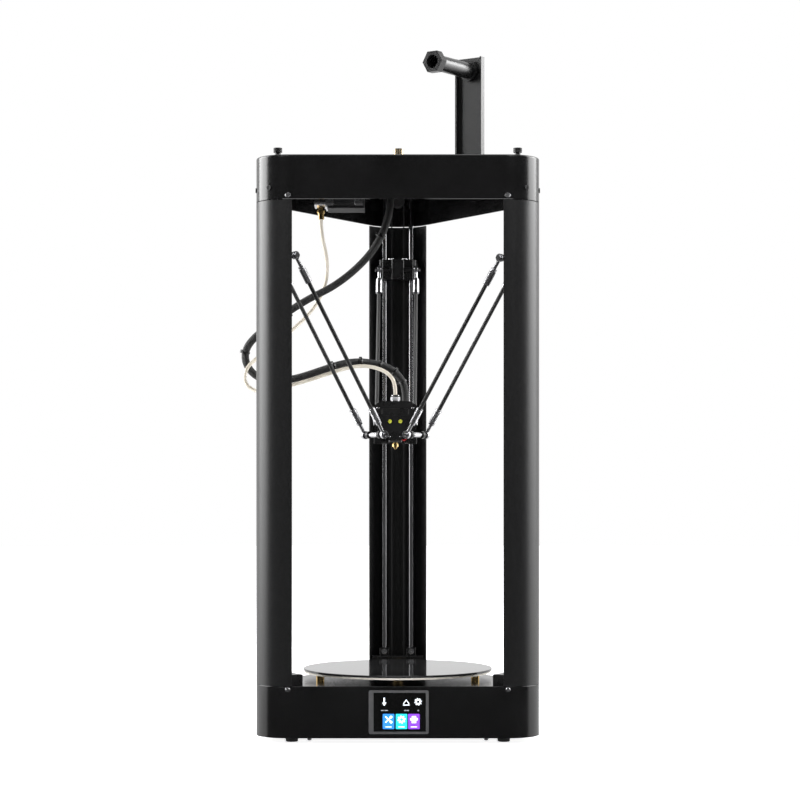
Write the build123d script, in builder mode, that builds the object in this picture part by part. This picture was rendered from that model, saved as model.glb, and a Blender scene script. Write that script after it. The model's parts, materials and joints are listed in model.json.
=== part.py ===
"""A delta 3D printer: three towers on a rounded triangular base, a round bed and a hanging print head.

The origin is the centre of the bed's top face, on the machine's axis. -Y is the front and +Z is up.
Each tower has its own frame: "out" is the distance from the axis and "side" runs along its face.
"""
import os
from math import cos, pi, radians, sin, sqrt, tan

from build123d import *

os.makedirs("parts", exist_ok=True)

# ---- the frame, seen from above: a triangle with round corners
TOWERS = {"left": 210, "right": 330, "back": 90}
CORNER_OUT = 128.75  # centre of each round corner
CORNER_RADIUS = 36.0
APOTHEM = CORNER_OUT / 2 + CORNER_RADIUS
WALL = 1.5

FLANGE = 2.8  # each tower cover runs on past its arc by this much

# ---- heights
BASE_BOTTOM = -64.2
BASE_TOP = -10.7
TOP_BOTTOM = 490.2
TOP_TOP = 536.1
FOOT_HEIGHT = 6.0
SEAM = 0.8

# ---- towers
ROD_OUT = 149.0
ROD_SIDE = 15.25
ROD_RADIUS = 3.0
ROD_BOTTOM = -34.0
ROD_TOP = 532.0
BLOCK_INNER = 130.0
BLOCK_HALF_WIDTH = 29.0
BELT_OUT = 150.0
BELT_WIDTH = 6.0
BELT_THICKNESS = 1.4
BELT_INNER_RADIUS = 6.1
MOTOR_Z = -37.0
IDLER_Z = 518.0
NEMA = 42.3

# ---- bed
BED_RADIUS = 101.0
GLASS = 2.3
ALUMINIUM = 2.0

# ---- print head and arms
HEAD_X, HEAD_Y, HEAD_Z = -2.6, 7.9, 249.2
ARM_LENGTH = 215.0
PAIR_SPACING = 41.6
HEAD_JOINT_OUT = 25.7
CARRIAGE_JOINT_OUT = 134.3
NOZZLE_TIP = 233.8

# ---- carriages
CARRIAGE_WIDTH = 35.4
CARRIAGE_HEIGHT = 22.7
CARRIAGE_INNER = 131.3
CARRIAGE_PLATE = 138.5
CARRIAGE_OUTER = 142.5
CARRIAGE_BOSS = 7.0  # half the width of the part that holds the ball pin
BEARING_RADIUS = 6.0
BEARING_LENGTH = 19.0

# ---- spool holder
SPOOL_LEFT = Vector(65.0, 45.0, 0)
SPOOL_RIGHT = Vector(92.8, 25.6, 0)
SPOOL_TOP = 659.7
SPOOL_AXIS_Z = 645.3
SPOOL_TUBE_LENGTH = 65.0
CAP_LENGTH = 9.0

# ---- extruder under the top
EXTRUDER_MOTOR_X = (-77.0, -37.0)
EXTRUDER_Z = 512.5
FILAMENT_X = -82.5

# ---- cords
HARNESS_DIAMETER = 8.0
TUBE_DIAMETER = 4.0


def radial(angle):
    """The unit vector that points from the axis to a tower."""
    return Vector(cos(radians(angle)), sin(radians(angle)), 0)


def tangent(angle):
    """The unit vector along a tower's face."""
    return Vector(-sin(radians(angle)), cos(radians(angle)), 0)


def place(angle, out, side, z):
    """A point given in a tower's frame."""
    return radial(angle) * out + tangent(angle) * side + Vector(0, 0, z)


def level(angle, z):
    """The horizontal plane at height z whose x runs out along a tower."""
    return Plane(origin=(0, 0, z), x_dir=radial(angle), z_dir=(0, 0, 1))


def facing(angle, out, side, z):
    """The plane at a point of a tower that faces away from the axis, with y up."""
    return Plane(origin=place(angle, out, side, z), x_dir=tangent(angle), z_dir=radial(angle))


def across(angle, out, side, z):
    """The plane at a point of a tower whose normal runs along the tower's face, towards lower "side"."""
    return Plane(origin=place(angle, out, side, z), x_dir=radial(angle), z_dir=-tangent(angle))


def save(piece, name):
    """Label a finished piece and write it as parts/name.step."""
    piece.part.label = name
    export_step(piece.part, f"parts/{name}.step")


def outline(inset):
    """The rounded triangle, in the sketch being built, a distance inside the outer wall."""
    with PolarLocations(CORNER_OUT, 3, start_angle=90):
        Circle(CORNER_RADIUS - inset)
    make_hull()


def disc(plane, radius, amount, mode=Mode.ADD, sides=0):
    """A cylinder, or a prism with that many sides, extruded from a plane into the part being built."""
    with BuildSketch(plane) as face:
        if sides:
            RegularPolygon(radius, sides)
        else:
            Circle(radius)
    extrude(face.sketch, amount=amount, mode=mode)


def socket_screw(plane, head_radius, head_height):
    """A cap screw's head that stands on a plane, with a hexagon socket, added to the part being built."""
    disc(plane, head_radius, head_height)
    disc(plane.offset(head_height), head_radius * 0.5, -head_height * 0.55, Mode.SUBTRACT, 6)


# =====================================================================================
# Base
# =====================================================================================
SCREEN_X = 0.95
SCREEN_Z = -37.15
SCREEN_WIDTH = 61.7
SCREEN_HEIGHT = 44.9

RIGHT_WALL = 30  # the direction that the right side wall faces
LEFT_WALL = 150
SOCKET_Z = -38.0
INLET_SIDE, INLET_WINDOW = 22.0, (27.2, 19.8)
SWITCH_SPACING, SWITCH_WINDOW = 34.0, (21.2, 15.2)
DATA_SIDE, DATA_WINDOW = -20.0, (12.4, 11.4)
CARD_SIDE, CARD_WINDOW = 4.0, (25.6, 2.8)
BASE_FAN_SIDE = 55.0
GRILLE_RINGS = [(7.0, 6), (12.0, 10), (17.0, 16)]
GRILLE_HOLE = 1.7
GRILLE_CENTRE_HOLE = 3.0
ROD_HOLE_GAP = 0.5
BELT_WINDOW = (9.0, 18.0)

with BuildPart() as base_shell:
    with BuildSketch(Plane.XY.offset(BASE_BOTTOM)):
        outline(0)
    extrude(amount=BASE_TOP - BASE_BOTTOM)
    fillet(base_shell.faces().sort_by(Axis.Z)[-1].edges(), 1.0)
    with BuildSketch(Plane.XY.offset(BASE_BOTTOM)):
        outline(WALL)
    extrude(amount=BASE_TOP - BASE_BOTTOM - WALL, mode=Mode.SUBTRACT)
    # window for the screen
    with BuildSketch(Plane.XZ.offset(APOTHEM - 10)):
        with Locations((SCREEN_X, SCREEN_Z)):
            Rectangle(SCREEN_WIDTH - 6, SCREEN_HEIGHT - 6)
    extrude(amount=20, mode=Mode.SUBTRACT)
    # windows for the mains inlet and its switch, and for the card and data sockets
    with BuildSketch(facing(RIGHT_WALL, APOTHEM - 5, INLET_SIDE, SOCKET_Z)):
        Rectangle(*INLET_WINDOW)
        with Locations((SWITCH_SPACING, 0)):
            Rectangle(*SWITCH_WINDOW)
    extrude(amount=10, mode=Mode.SUBTRACT)
    with BuildSketch(facing(LEFT_WALL, APOTHEM - 5, 0, SOCKET_Z)):
        with Locations((DATA_SIDE, 0)):
            Rectangle(*DATA_WINDOW)
        with Locations((CARD_SIDE, 0)):
            Rectangle(*CARD_WINDOW)
    extrude(amount=10, mode=Mode.SUBTRACT)
    # grille of the base fan
    with BuildSketch(facing(LEFT_WALL, APOTHEM - 5, BASE_FAN_SIDE, SOCKET_Z)):
        Circle(GRILLE_CENTRE_HOLE)
        for ring, count in GRILLE_RINGS:
            with PolarLocations(ring, count):
                Circle(GRILLE_HOLE)
    extrude(amount=10, mode=Mode.SUBTRACT)
    # the rods, the belts and the wires pass down through the deck
    for angle in TOWERS.values():
        with BuildSketch(level(angle, BASE_TOP - 4)):
            with Locations((ROD_OUT, ROD_SIDE), (ROD_OUT, -ROD_SIDE)):
                Circle(ROD_RADIUS + ROD_HOLE_GAP)
            with Locations((BELT_OUT, 0)):
                Rectangle(*BELT_WINDOW)
        extrude(amount=10, mode=Mode.SUBTRACT)
save(base_shell, "base_shell")

VENT_COUNT, VENT_PITCH, VENT_LENGTH, VENT_WIDTH = 7, 9.0, 44.0, 4.0
with BuildPart() as base_bottom_plate:
    with BuildSketch(Plane.XY.offset(BASE_BOTTOM)):
        outline(WALL + 0.1)
        with GridLocations(VENT_PITCH, 1, VENT_COUNT, 1):
            SlotOverall(VENT_LENGTH, VENT_WIDTH, rotation=90, mode=Mode.SUBTRACT)
        for angle in TOWERS.values():
            with Locations(place(angle, 70, 0, 0)):
                Circle(1.6, mode=Mode.SUBTRACT)
    extrude(amount=WALL)
save(base_bottom_plate, "base_bottom_plate")

FEET = [(-110, -75), (110, -75), (0, 132)]
FOOT_RADIUS = 6.5
with BuildPart() as rubber_feet:
    with BuildSketch(Plane.XY.offset(BASE_BOTTOM - FOOT_HEIGHT)):
        with Locations(*FEET):
            Circle(FOOT_RADIUS)
    extrude(amount=FOOT_HEIGHT)
    fillet(rubber_feet.edges().group_by(Axis.Z)[0], 0.8)
save(rubber_feet, "rubber_feet")

# =====================================================================================
# Tower covers, top shell
# =====================================================================================
with BuildPart() as tower_covers:
    for angle in TOWERS.values():
        with BuildSketch(level(angle, BASE_TOP)):
            with BuildLine():
                outer = CenterArc((CORNER_OUT, 0), CORNER_RADIUS, -60, 120)
                inner = CenterArc((CORNER_OUT, 0), CORNER_RADIUS - WALL, -60, 120)
                ends = []
                for curve in (outer, inner):
                    low = Line(curve @ 0, curve @ 0 - (curve % 0) * FLANGE)
                    high = Line(curve @ 1, curve @ 1 + (curve % 1) * FLANGE)
                    ends.append((low @ 1, high @ 1))
                Line(ends[0][0], ends[1][0])
                Line(ends[0][1], ends[1][1])
            make_face()
        extrude(amount=TOP_BOTTOM - SEAM - BASE_TOP)
save(tower_covers, "tower_covers")

KNOB_OUT = 144.0
FILAMENT_GUIDE = (0.8, -70.0)
GUIDE_BARREL, GUIDE_STEM, GUIDE_BORE = 5.4, 3.2, 1.3
KNOB_HOLE = 2.3
FILAMENT_HOLE = 2.5
WALL_HOLE_Z, WALL_HOLE_RADIUS = 513.0, 2.25
with BuildPart() as top_shell:
    with BuildSketch(Plane.XY.offset(TOP_BOTTOM)):
        outline(0)
    extrude(amount=TOP_TOP - TOP_BOTTOM)
    fillet(top_shell.faces().sort_by(Axis.Z)[-1].edges(), 2.0)
    with BuildSketch(Plane.XY.offset(TOP_BOTTOM)):
        outline(WALL)
    extrude(amount=TOP_TOP - TOP_BOTTOM - WALL, mode=Mode.SUBTRACT)
    # holes for the tension screws, the filament guide and the filament's way down to the extruder
    with BuildSketch(Plane.XY.offset(TOP_TOP - 5)):
        for angle in TOWERS.values():
            with Locations(place(angle, KNOB_OUT, 0, 0)):
                Circle(KNOB_HOLE)
        with Locations(FILAMENT_GUIDE):
            Circle(GUIDE_STEM)
        with Locations((FILAMENT_X, 0)):
            Circle(FILAMENT_HOLE)
    extrude(amount=10, mode=Mode.SUBTRACT)
    # a small hole through the right wall
    with BuildSketch(facing(RIGHT_WALL, APOTHEM - 5, 0, WALL_HOLE_Z)):
        Circle(WALL_HOLE_RADIUS)
    extrude(amount=10, mode=Mode.SUBTRACT)
save(top_shell, "top_shell")

# =====================================================================================
# Towers: rods, blocks, clamps, belts
# =====================================================================================
with BuildPart() as guide_rods:
    for angle in TOWERS.values():
        with BuildSketch(level(angle, ROD_BOTTOM)):
            with Locations((ROD_OUT, ROD_SIDE), (ROD_OUT, -ROD_SIDE)):
                Circle(ROD_RADIUS)
        extrude(amount=ROD_TOP - ROD_BOTTOM)
    chamfer(guide_rods.edges().group_by(Axis.Z)[0], 0.4)
    chamfer(guide_rods.edges().group_by(Axis.Z)[-1], 0.4)
save(guide_rods, "guide_rods")

FOOT_BLOCK_TOP = 0.7
HEAD_BLOCK = (521.0, 532.0)
HEAD_BLOCK_HOLE = (17.5, 19.0)  # room for the belt's idler and its yoke
BLOCK_OUTER = 160.0
BLOCK_GAP = 0.3  # between a block and its tower's cover
# a block at each end of each tower holds the two rods and lets the belt through
with BuildPart() as rod_blocks:
    for (bottom, top), hole in (((BASE_TOP, FOOT_BLOCK_TOP), BELT_WINDOW), (HEAD_BLOCK, HEAD_BLOCK_HOLE)):
        for angle in TOWERS.values():
            with BuildSketch(level(angle, bottom)):
                with Locations((CORNER_OUT, 0)):
                    Circle(CORNER_RADIUS - WALL - BLOCK_GAP)
                with Locations(((BLOCK_INNER + BLOCK_OUTER) / 2, 0)):
                    Rectangle(BLOCK_OUTER - BLOCK_INNER, 2 * BLOCK_HALF_WIDTH, mode=Mode.INTERSECT)
                with Locations((ROD_OUT, ROD_SIDE), (ROD_OUT, -ROD_SIDE)):
                    Circle(ROD_RADIUS, mode=Mode.SUBTRACT)
                with Locations((BELT_OUT, 0)):
                    Rectangle(*hole, mode=Mode.SUBTRACT)
            extrude(amount=top - bottom)
save(rod_blocks, "rod_blocks")

CLAMP_WIDTH = 11.0
CLAMP_TOP = 9.6
CLAMP_INNER, CLAMP_OUTER = 142.5, 155.0
CLAMP_SCREW_Z = 5.6
with BuildPart() as rod_clamps:
    for angle in TOWERS.values():
        for side in (ROD_SIDE, -ROD_SIDE):
            with BuildSketch(level(angle, FOOT_BLOCK_TOP)):
                with Locations(((CLAMP_INNER + CLAMP_OUTER) / 2, side)):
                    RectangleRounded(CLAMP_OUTER - CLAMP_INNER, CLAMP_WIDTH, 1.5)
                with Locations((ROD_OUT, side)):
                    Circle(ROD_RADIUS, mode=Mode.SUBTRACT)
            extrude(amount=CLAMP_TOP - FOOT_BLOCK_TOP)
save(rod_clamps, "rod_clamps")

BELT_MIDDLE = (MOTOR_Z + IDLER_Z) / 2
BELT_SPAN = IDLER_Z - MOTOR_Z
with BuildPart() as drive_belts:
    for angle in TOWERS.values():
        with BuildSketch(facing(angle, BELT_OUT - BELT_WIDTH / 2, 0, BELT_MIDDLE)):
            outer_height = BELT_SPAN + 2 * (BELT_INNER_RADIUS + BELT_THICKNESS)
            SlotOverall(outer_height, 2 * (BELT_INNER_RADIUS + BELT_THICKNESS), rotation=90)
            inner_height = BELT_SPAN + 2 * BELT_INNER_RADIUS
            SlotOverall(inner_height, 2 * BELT_INNER_RADIUS, rotation=90, mode=Mode.SUBTRACT)
        extrude(amount=BELT_WIDTH)
save(drive_belts, "drive_belts")

MOTOR_FRONT = 140.0
MOTOR_LENGTH = 34.0
MOTOR_CORNER = 4.0
PILOT_RADIUS, PILOT_HEIGHT = 11.0, 2.0
SHAFT_RADIUS = 2.5
SHAFT_LENGTH, EXTRUDER_SHAFT_LENGTH = 15.5, 12.0


def stepper(plane, length, shaft):
    """A square stepper motor whose shaft leaves a plane along its normal, added to the part being built."""
    with BuildSketch(plane) as case:
        RectangleRounded(NEMA, NEMA, MOTOR_CORNER)
    extrude(case.sketch, amount=-length)
    disc(plane, PILOT_RADIUS, PILOT_HEIGHT)
    disc(plane, SHAFT_RADIUS, shaft)


EXTRUDER_FACE = Plane(origin=(EXTRUDER_MOTOR_X[0], 0, EXTRUDER_Z), x_dir=(0, -1, 0), z_dir=(-1, 0, 0))
with BuildPart() as stepper_motors:
    for angle in TOWERS.values():
        stepper(facing(angle, MOTOR_FRONT, 0, MOTOR_Z), MOTOR_LENGTH, SHAFT_LENGTH)
    stepper(EXTRUDER_FACE, EXTRUDER_MOTOR_X[1] - EXTRUDER_MOTOR_X[0], EXTRUDER_SHAFT_LENGTH)
save(stepper_motors, "stepper_motors")

YOKE_TOP = 530.0
YOKE_DEPTH, YOKE_RADIUS = 16.0, 7.0
YOKE_GAP, YOKE_GAP_RADIUS = 8.8, 8.4  # the idler's room inside the yoke
MOTOR_PLATE_WIDTH, MOTOR_PLATE_THICKNESS = 46.0, 2.5
MOTOR_SCREW_SPACING, MOTOR_SCREW_HOLE = 31.0, 1.6
with BuildPart() as belt_brackets:
    for angle in TOWERS.values():
        with BuildSketch(facing(angle, MOTOR_FRONT, 0, MOTOR_Z)):
            Rectangle(MOTOR_PLATE_WIDTH, 2 * (BASE_TOP - WALL - MOTOR_Z))
            Circle(PILOT_RADIUS + 0.2, mode=Mode.SUBTRACT)
            with GridLocations(MOTOR_SCREW_SPACING, MOTOR_SCREW_SPACING, 2, 2):
                Circle(MOTOR_SCREW_HOLE, mode=Mode.SUBTRACT)
        extrude(amount=MOTOR_PLATE_THICKNESS)
    # a yoke at the top of each tower holds the pin of the belt's idler
    for angle in TOWERS.values():
        with BuildSketch(facing(angle, BELT_OUT - YOKE_DEPTH / 2, 0, IDLER_Z)):
            Circle(YOKE_RADIUS)
            with Locations((0, (YOKE_TOP - IDLER_Z) / 2)):
                Rectangle(2 * YOKE_RADIUS, YOKE_TOP - IDLER_Z)
        extrude(amount=YOKE_DEPTH)
        with BuildSketch(facing(angle, BELT_OUT - YOKE_GAP / 2, 0, IDLER_Z)):
            Circle(YOKE_GAP_RADIUS)
            with Locations((0, -YOKE_GAP_RADIUS)):
                Rectangle(2 * YOKE_GAP_RADIUS, 2 * YOKE_GAP_RADIUS)
        extrude(amount=YOKE_GAP, mode=Mode.SUBTRACT)
        disc(facing(angle, BELT_OUT - YOKE_DEPTH / 2, 0, IDLER_Z), SHAFT_RADIUS, YOKE_DEPTH)
save(belt_brackets, "belt_brackets")


RUNNING_GAP = 0.05
WHEEL_TEETH = 20
WHEEL_FACE = 6.4  # width of the toothed part, between two flanges
WHEEL_RADIUS = BELT_INNER_RADIUS - 0.12
WHEEL_FLANGE, WHEEL_FLANGE_RADIUS = 0.9, 8.0
TOOTH_GAP_RADIUS = 0.45


def toothed_wheel(angle, z):
    """A flanged belt wheel, centred on the belt, turning about a tower's outward line."""
    start = BELT_OUT - WHEEL_FACE / 2
    width = WHEEL_FACE + 2 * WHEEL_FLANGE
    with BuildPart() as wheel:
        disc(facing(angle, start - WHEEL_FLANGE, 0, z), WHEEL_FLANGE_RADIUS, WHEEL_FLANGE)
        disc(facing(angle, start, 0, z), WHEEL_RADIUS, WHEEL_FACE)
        disc(facing(angle, start + WHEEL_FACE, 0, z), WHEEL_FLANGE_RADIUS, WHEEL_FLANGE)
        with BuildSketch(facing(angle, start, 0, z)):
            with PolarLocations(WHEEL_RADIUS, WHEEL_TEETH):
                Circle(TOOTH_GAP_RADIUS)
        extrude(amount=WHEEL_FACE, mode=Mode.SUBTRACT)
        disc(facing(angle, start - WHEEL_FLANGE, 0, z), SHAFT_RADIUS + RUNNING_GAP, width, Mode.SUBTRACT)
    return wheel


for tower, tower_angle in TOWERS.items():
    save(toothed_wheel(tower_angle, MOTOR_Z), f"motor_pulley_{tower}")
    save(toothed_wheel(tower_angle, IDLER_Z), f"belt_idler_{tower}")

KNOB_RADIUS = 4.5
KNOB_HEIGHT = 10.0
KNOB_NECK, KNOB_NECK_RADIUS = 5.2, 3.1
KNOB_GAP = 0.2  # between a knob and the top
KNOB_STEM = 2.0
for tower, tower_angle in TOWERS.items():
    with BuildPart() as knob:
        knob_plane = Plane(origin=place(tower_angle, KNOB_OUT, 0, TOP_TOP + KNOB_GAP), z_dir=(0, 0, 1))
        with BuildSketch(knob_plane.offset(KNOB_NECK)):
            Circle(KNOB_RADIUS)
            with PolarLocations(KNOB_RADIUS + 0.25, 24):
                Circle(0.5, mode=Mode.SUBTRACT)
        extrude(amount=KNOB_HEIGHT - KNOB_NECK)
        disc(knob_plane, KNOB_NECK_RADIUS, KNOB_NECK)
        disc(knob_plane.offset(KNOB_HEIGHT), 1.8, -2.5, Mode.SUBTRACT, 6)
        disc(knob_plane, KNOB_STEM, YOKE_TOP + 0.3 - TOP_TOP - KNOB_GAP)
    save(knob, f"tension_knob_{tower}")

# =====================================================================================
# Bed
# =====================================================================================
with BuildPart() as bed_glass:
    with BuildSketch(Plane.XY.offset(-GLASS)):
        Circle(BED_RADIUS)
    extrude(amount=GLASS)
    chamfer(bed_glass.edges().group_by(Axis.Z)[-1], 0.3)
save(bed_glass, "bed_glass")

BED_BOTTOM = -GLASS - ALUMINIUM
with BuildPart() as bed_plate:
    with BuildSketch(Plane.XY.offset(BED_BOTTOM)):
        Circle(BED_RADIUS - 1)
    extrude(amount=ALUMINIUM)
save(bed_plate, "bed_plate")

STANDOFF_OUT, STANDOFF_RADIUS = 94.0, 4.3
with BuildPart() as bed_supports:
    with BuildSketch(Plane.XY.offset(BASE_TOP)):
        with PolarLocations(STANDOFF_OUT, 3, start_angle=90):
            Circle(STANDOFF_RADIUS)
    extrude(amount=BED_BOTTOM - BASE_TOP)
save(bed_supports, "bed_supports")

# =====================================================================================
# Screen and electronics
# =====================================================================================
FRONT = Plane.XZ.offset(APOTHEM)
BEZEL_DEPTH = 1.2
with BuildPart() as screen_bezel:
    with BuildSketch(FRONT):
        with Locations((SCREEN_X, SCREEN_Z)):
            RectangleRounded(SCREEN_WIDTH, SCREEN_HEIGHT, 2)
        with Locations((SCREEN_X + 1.0, SCREEN_Z)):
            Rectangle(SCREEN_WIDTH - 8, SCREEN_HEIGHT - 5, mode=Mode.SUBTRACT)
    extrude(amount=BEZEL_DEPTH)
    fillet(screen_bezel.edges().group_by(Axis.Y)[0], 0.4)
save(screen_bezel, "screen_bezel")

with BuildPart() as screen_glass:
    with BuildSketch(Plane.XZ.offset(APOTHEM - WALL)):
        with Locations((SCREEN_X + 1.0, SCREEN_Z)):
            Rectangle(SCREEN_WIDTH - 8.4, SCREEN_HEIGHT - 6.4)
    extrude(amount=WALL + 0.4)
save(screen_glass, "screen_glass")

FLOOR_PLATE = BASE_BOTTOM + WALL
with BuildPart() as circuit_boards:
    with BuildSketch(Plane.XZ.offset(APOTHEM - WALL - 6)):
        with Locations((SCREEN_X, SCREEN_Z)):
            RectangleRounded(SCREEN_WIDTH + 8, SCREEN_HEIGHT + 2, 2)
    extrude(amount=5.9)
    # the control board on its posts, with the cooled driver chips and the sockets in the left wall
    with BuildSketch(Plane.XY.offset(FLOOR_PLATE + 8)):
        with Locations((0, SOCKET_Z)):
            Rectangle(110, 62)
    extrude(amount=1.6)
    with BuildSketch(Plane.XY.offset(FLOOR_PLATE)):
        with Locations((0, SOCKET_Z)):
            with GridLocations(100, 52, 2, 2):
                Circle(3)
    extrude(amount=8)
    with BuildSketch(Plane.XY.offset(FLOOR_PLATE + 9.6)):
        with Locations((0, -30)):
            with GridLocations(18, 1, 5, 1):
                Rectangle(12, 12)
    extrude(amount=9)
    with BuildSketch(facing(LEFT_WALL, APOTHEM + 0.3, 0, SOCKET_Z)):
        with Locations((-20, 0)):
            Rectangle(12, 11)
            Rectangle(8.6, 8, mode=Mode.SUBTRACT)
    extrude(amount=-15)
    with BuildSketch(facing(LEFT_WALL, APOTHEM + 0.3, 0, SOCKET_Z)):
        with Locations((4, 0)):
            Rectangle(25.2, 2.6)
            Rectangle(24, 1.4, mode=Mode.SUBTRACT)
    extrude(amount=-20)
save(circuit_boards, "circuit_boards")

with BuildPart() as power_supply:
    with BuildSketch(Plane.XY.offset(FLOOR_PLATE)):
        with Locations((0, 40)):
            Rectangle(60, 74)
    extrude(amount=38)
    fillet(power_supply.edges().filter_by(Axis.Z), 2)
save(power_supply, "power_supply")

ROCKER_SIDE = INLET_SIDE + SWITCH_SPACING
with BuildPart() as power_inlet:
    with BuildSketch(facing(RIGHT_WALL, APOTHEM, INLET_SIDE, SOCKET_Z)):
        RectangleRounded(32, 24, 2)
    extrude(amount=2.5)
    with BuildSketch(facing(RIGHT_WALL, APOTHEM, INLET_SIDE, SOCKET_Z)):
        RectangleRounded(27, 19.6, 2)
    extrude(amount=-22)
    with BuildSketch(facing(RIGHT_WALL, APOTHEM + 2.5, INLET_SIDE, SOCKET_Z)):
        RectangleRounded(24, 16, 3)
    extrude(amount=-16, mode=Mode.SUBTRACT)
    with BuildSketch(facing(RIGHT_WALL, APOTHEM - 13.5, INLET_SIDE, SOCKET_Z)):
        with Locations((-7, 1), (7, 1), (0, -3)):
            Rectangle(2, 4)
    extrude(amount=11)
    with BuildSketch(facing(RIGHT_WALL, APOTHEM, ROCKER_SIDE, SOCKET_Z)):
        RectangleRounded(24, 18, 1.5)
        Rectangle(18, 12, mode=Mode.SUBTRACT)
    extrude(amount=2)
    with BuildSketch(facing(RIGHT_WALL, APOTHEM, ROCKER_SIDE, SOCKET_Z)):
        Rectangle(21, 15)
    extrude(amount=-18)
    with BuildSketch(facing(RIGHT_WALL, APOTHEM + 2, ROCKER_SIDE, SOCKET_Z)):
        Rectangle(18, 12)
    extrude(amount=-12, mode=Mode.SUBTRACT)
save(power_inlet, "power_inlet")

ROCKER_PIVOT = -3.0
with BuildPart() as power_rocker:
    with BuildSketch(across(RIGHT_WALL, APOTHEM + ROCKER_PIVOT, ROCKER_SIDE, SOCKET_Z)):
        with BuildLine():
            Polyline((-3, 0), (0, -5.0), (4.6, -5.2), (3.6, 0), (4.6, 5.2), (0, 5.0), close=True)
        make_face()
    extrude(amount=8.5, both=True)
save(power_rocker, "power_rocker")


def fan_frame(plane, size, depth):
    """A square axial fan's frame behind a plane, with four struts and a hub plate."""
    bore = size / 2 - 1.2
    with BuildPart() as frame:
        with BuildSketch(plane):
            RectangleRounded(size, size, 2.5)
            Circle(bore, mode=Mode.SUBTRACT)
            with GridLocations(size * 0.8, size * 0.8, 2, 2):
                Circle(1.5, mode=Mode.SUBTRACT)
        extrude(amount=-depth)
        with BuildSketch(plane.offset(-depth)):
            Circle(size * 0.24)
            for turn in (0, 90, 180, 270):
                with PolarLocations(size * 0.36, 1, start_angle=turn + 20):
                    Rectangle(size * 0.29, 1.4)
        extrude(amount=1.2)
    return frame


def fan_rotor(plane, size, depth):
    """The rotor of such a fan: a hub and seven pitched blades."""
    bore = size / 2 - 1.2
    hub = size * 0.22
    with BuildPart() as rotor:
        with BuildSketch(plane.offset(-depth + 1.6)):
            Circle(hub)
        extrude(amount=depth - 2.2)
        with BuildSketch(plane.offset(-depth + 2.2)):
            with PolarLocations((hub + bore) / 2 - 0.3, 7):
                Rectangle(bore - hub - 0.1, 2.4, rotation=24)
        extrude(amount=depth - 3.6)
    return rotor


BASE_FAN = facing(LEFT_WALL, APOTHEM - WALL, BASE_FAN_SIDE, SOCKET_Z)
save(fan_frame(BASE_FAN, 40, 10), "base_fan_frame")
save(fan_rotor(BASE_FAN, 40, 10), "base_fan_rotor")

# =====================================================================================
# Print head
# =====================================================================================
HEAD = Vector(HEAD_X, HEAD_Y, 0)
PLATE_BOTTOM, PLATE_TOP = HEAD_Z - 2.2, HEAD_Z + 1.8
PLATE_APOTHEM = 21.5
PLATE_FRONT = 22.5

with BuildPart() as head_plate:
    with BuildSketch(Plane.XY.offset(PLATE_BOTTOM)):
        with Locations((HEAD_X, HEAD_Y)):
            RegularPolygon(PLATE_APOTHEM, 3, major_radius=False, rotation=-90)
            Circle(PLATE_FRONT, mode=Mode.INTERSECT)
            Circle(10.7, mode=Mode.SUBTRACT)
    extrude(amount=PLATE_TOP - PLATE_BOTTOM)
    # two lugs on each side hold the axle between the ball joints
    for angle in TOWERS.values():
        for side in (-12, 12):
            lug = across(angle, 0, side + 2, 0)
            lug.origin = lug.origin + HEAD
            with BuildSketch(lug):
                with Locations((HEAD_JOINT_OUT, HEAD_Z)):
                    Circle(4)
                with Locations(((HEAD_JOINT_OUT + PLATE_APOTHEM - 3) / 2, HEAD_Z - 0.2)):
                    Rectangle(HEAD_JOINT_OUT - PLATE_APOTHEM + 3, 4)
                with Locations((HEAD_JOINT_OUT, HEAD_Z)):
                    Circle(2.5, mode=Mode.SUBTRACT)
            extrude(amount=4)
save(head_plate, "head_plate")

EYE_HALF = 1.8
BALL_RADIUS = 3.0
PIN_RADIUS = 1.5


def ball_pin(plane, axis, pin_half, middle_half, middle_radius):
    """A pin with a ball for each arm of a pair and a thicker middle, added to the part being built."""
    with BuildSketch(plane) as profile:
        Rectangle(2 * pin_half, 2 * PIN_RADIUS)
        Rectangle(2 * middle_half, 2 * middle_radius)
        with Locations((-PAIR_SPACING / 2, 0), (PAIR_SPACING / 2, 0)):
            Circle(BALL_RADIUS)
        with Locations((0, 50)):
            Rectangle(100, 100, mode=Mode.INTERSECT)
    revolve(profile.sketch, axis=axis)


with BuildPart() as head_axles:
    for angle in TOWERS.values():
        middle = place(angle, HEAD_JOINT_OUT, 0, HEAD_Z) + HEAD
        plane = Plane(origin=middle, x_dir=tangent(angle), z_dir=radial(angle))
        ball_pin(plane, Axis(middle, tangent(angle)), PAIR_SPACING / 2 + 4, PAIR_SPACING / 2 - 2.6, 2.5)
save(head_axles, "head_axles")

HOTEND_FIN_RADIUS = 11.0
HEATER_BOTTOM, HEATER_TOP = 241.5, 248.0
HEATSINK_TOP = PLATE_TOP + 2.5 + 26
with BuildPart() as heatsink:
    with BuildSketch(Plane.XY.offset(PLATE_TOP)):
        with Locations((HEAD_X, HEAD_Y)):
            Circle(11.4)
    extrude(amount=2.5)
    with BuildSketch(Plane.XY.offset(PLATE_TOP + 2.5)):
        with Locations((HEAD_X, HEAD_Y)):
            Circle(5)
    extrude(amount=26)
    for step in range(9):
        with BuildSketch(Plane.XY.offset(PLATE_TOP + 5 + 2.6 * step)):
            with Locations((HEAD_X, HEAD_Y)):
                Circle(HOTEND_FIN_RADIUS)
        extrude(amount=1.2)
    # the heat break runs down from it to the heater block
    with BuildSketch(Plane.XY.offset(HEATER_TOP)):
        with Locations((HEAD_X, HEAD_Y)):
            Circle(2.2)
    extrude(amount=PLATE_TOP - HEATER_TOP)
save(heatsink, "heatsink")

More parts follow.
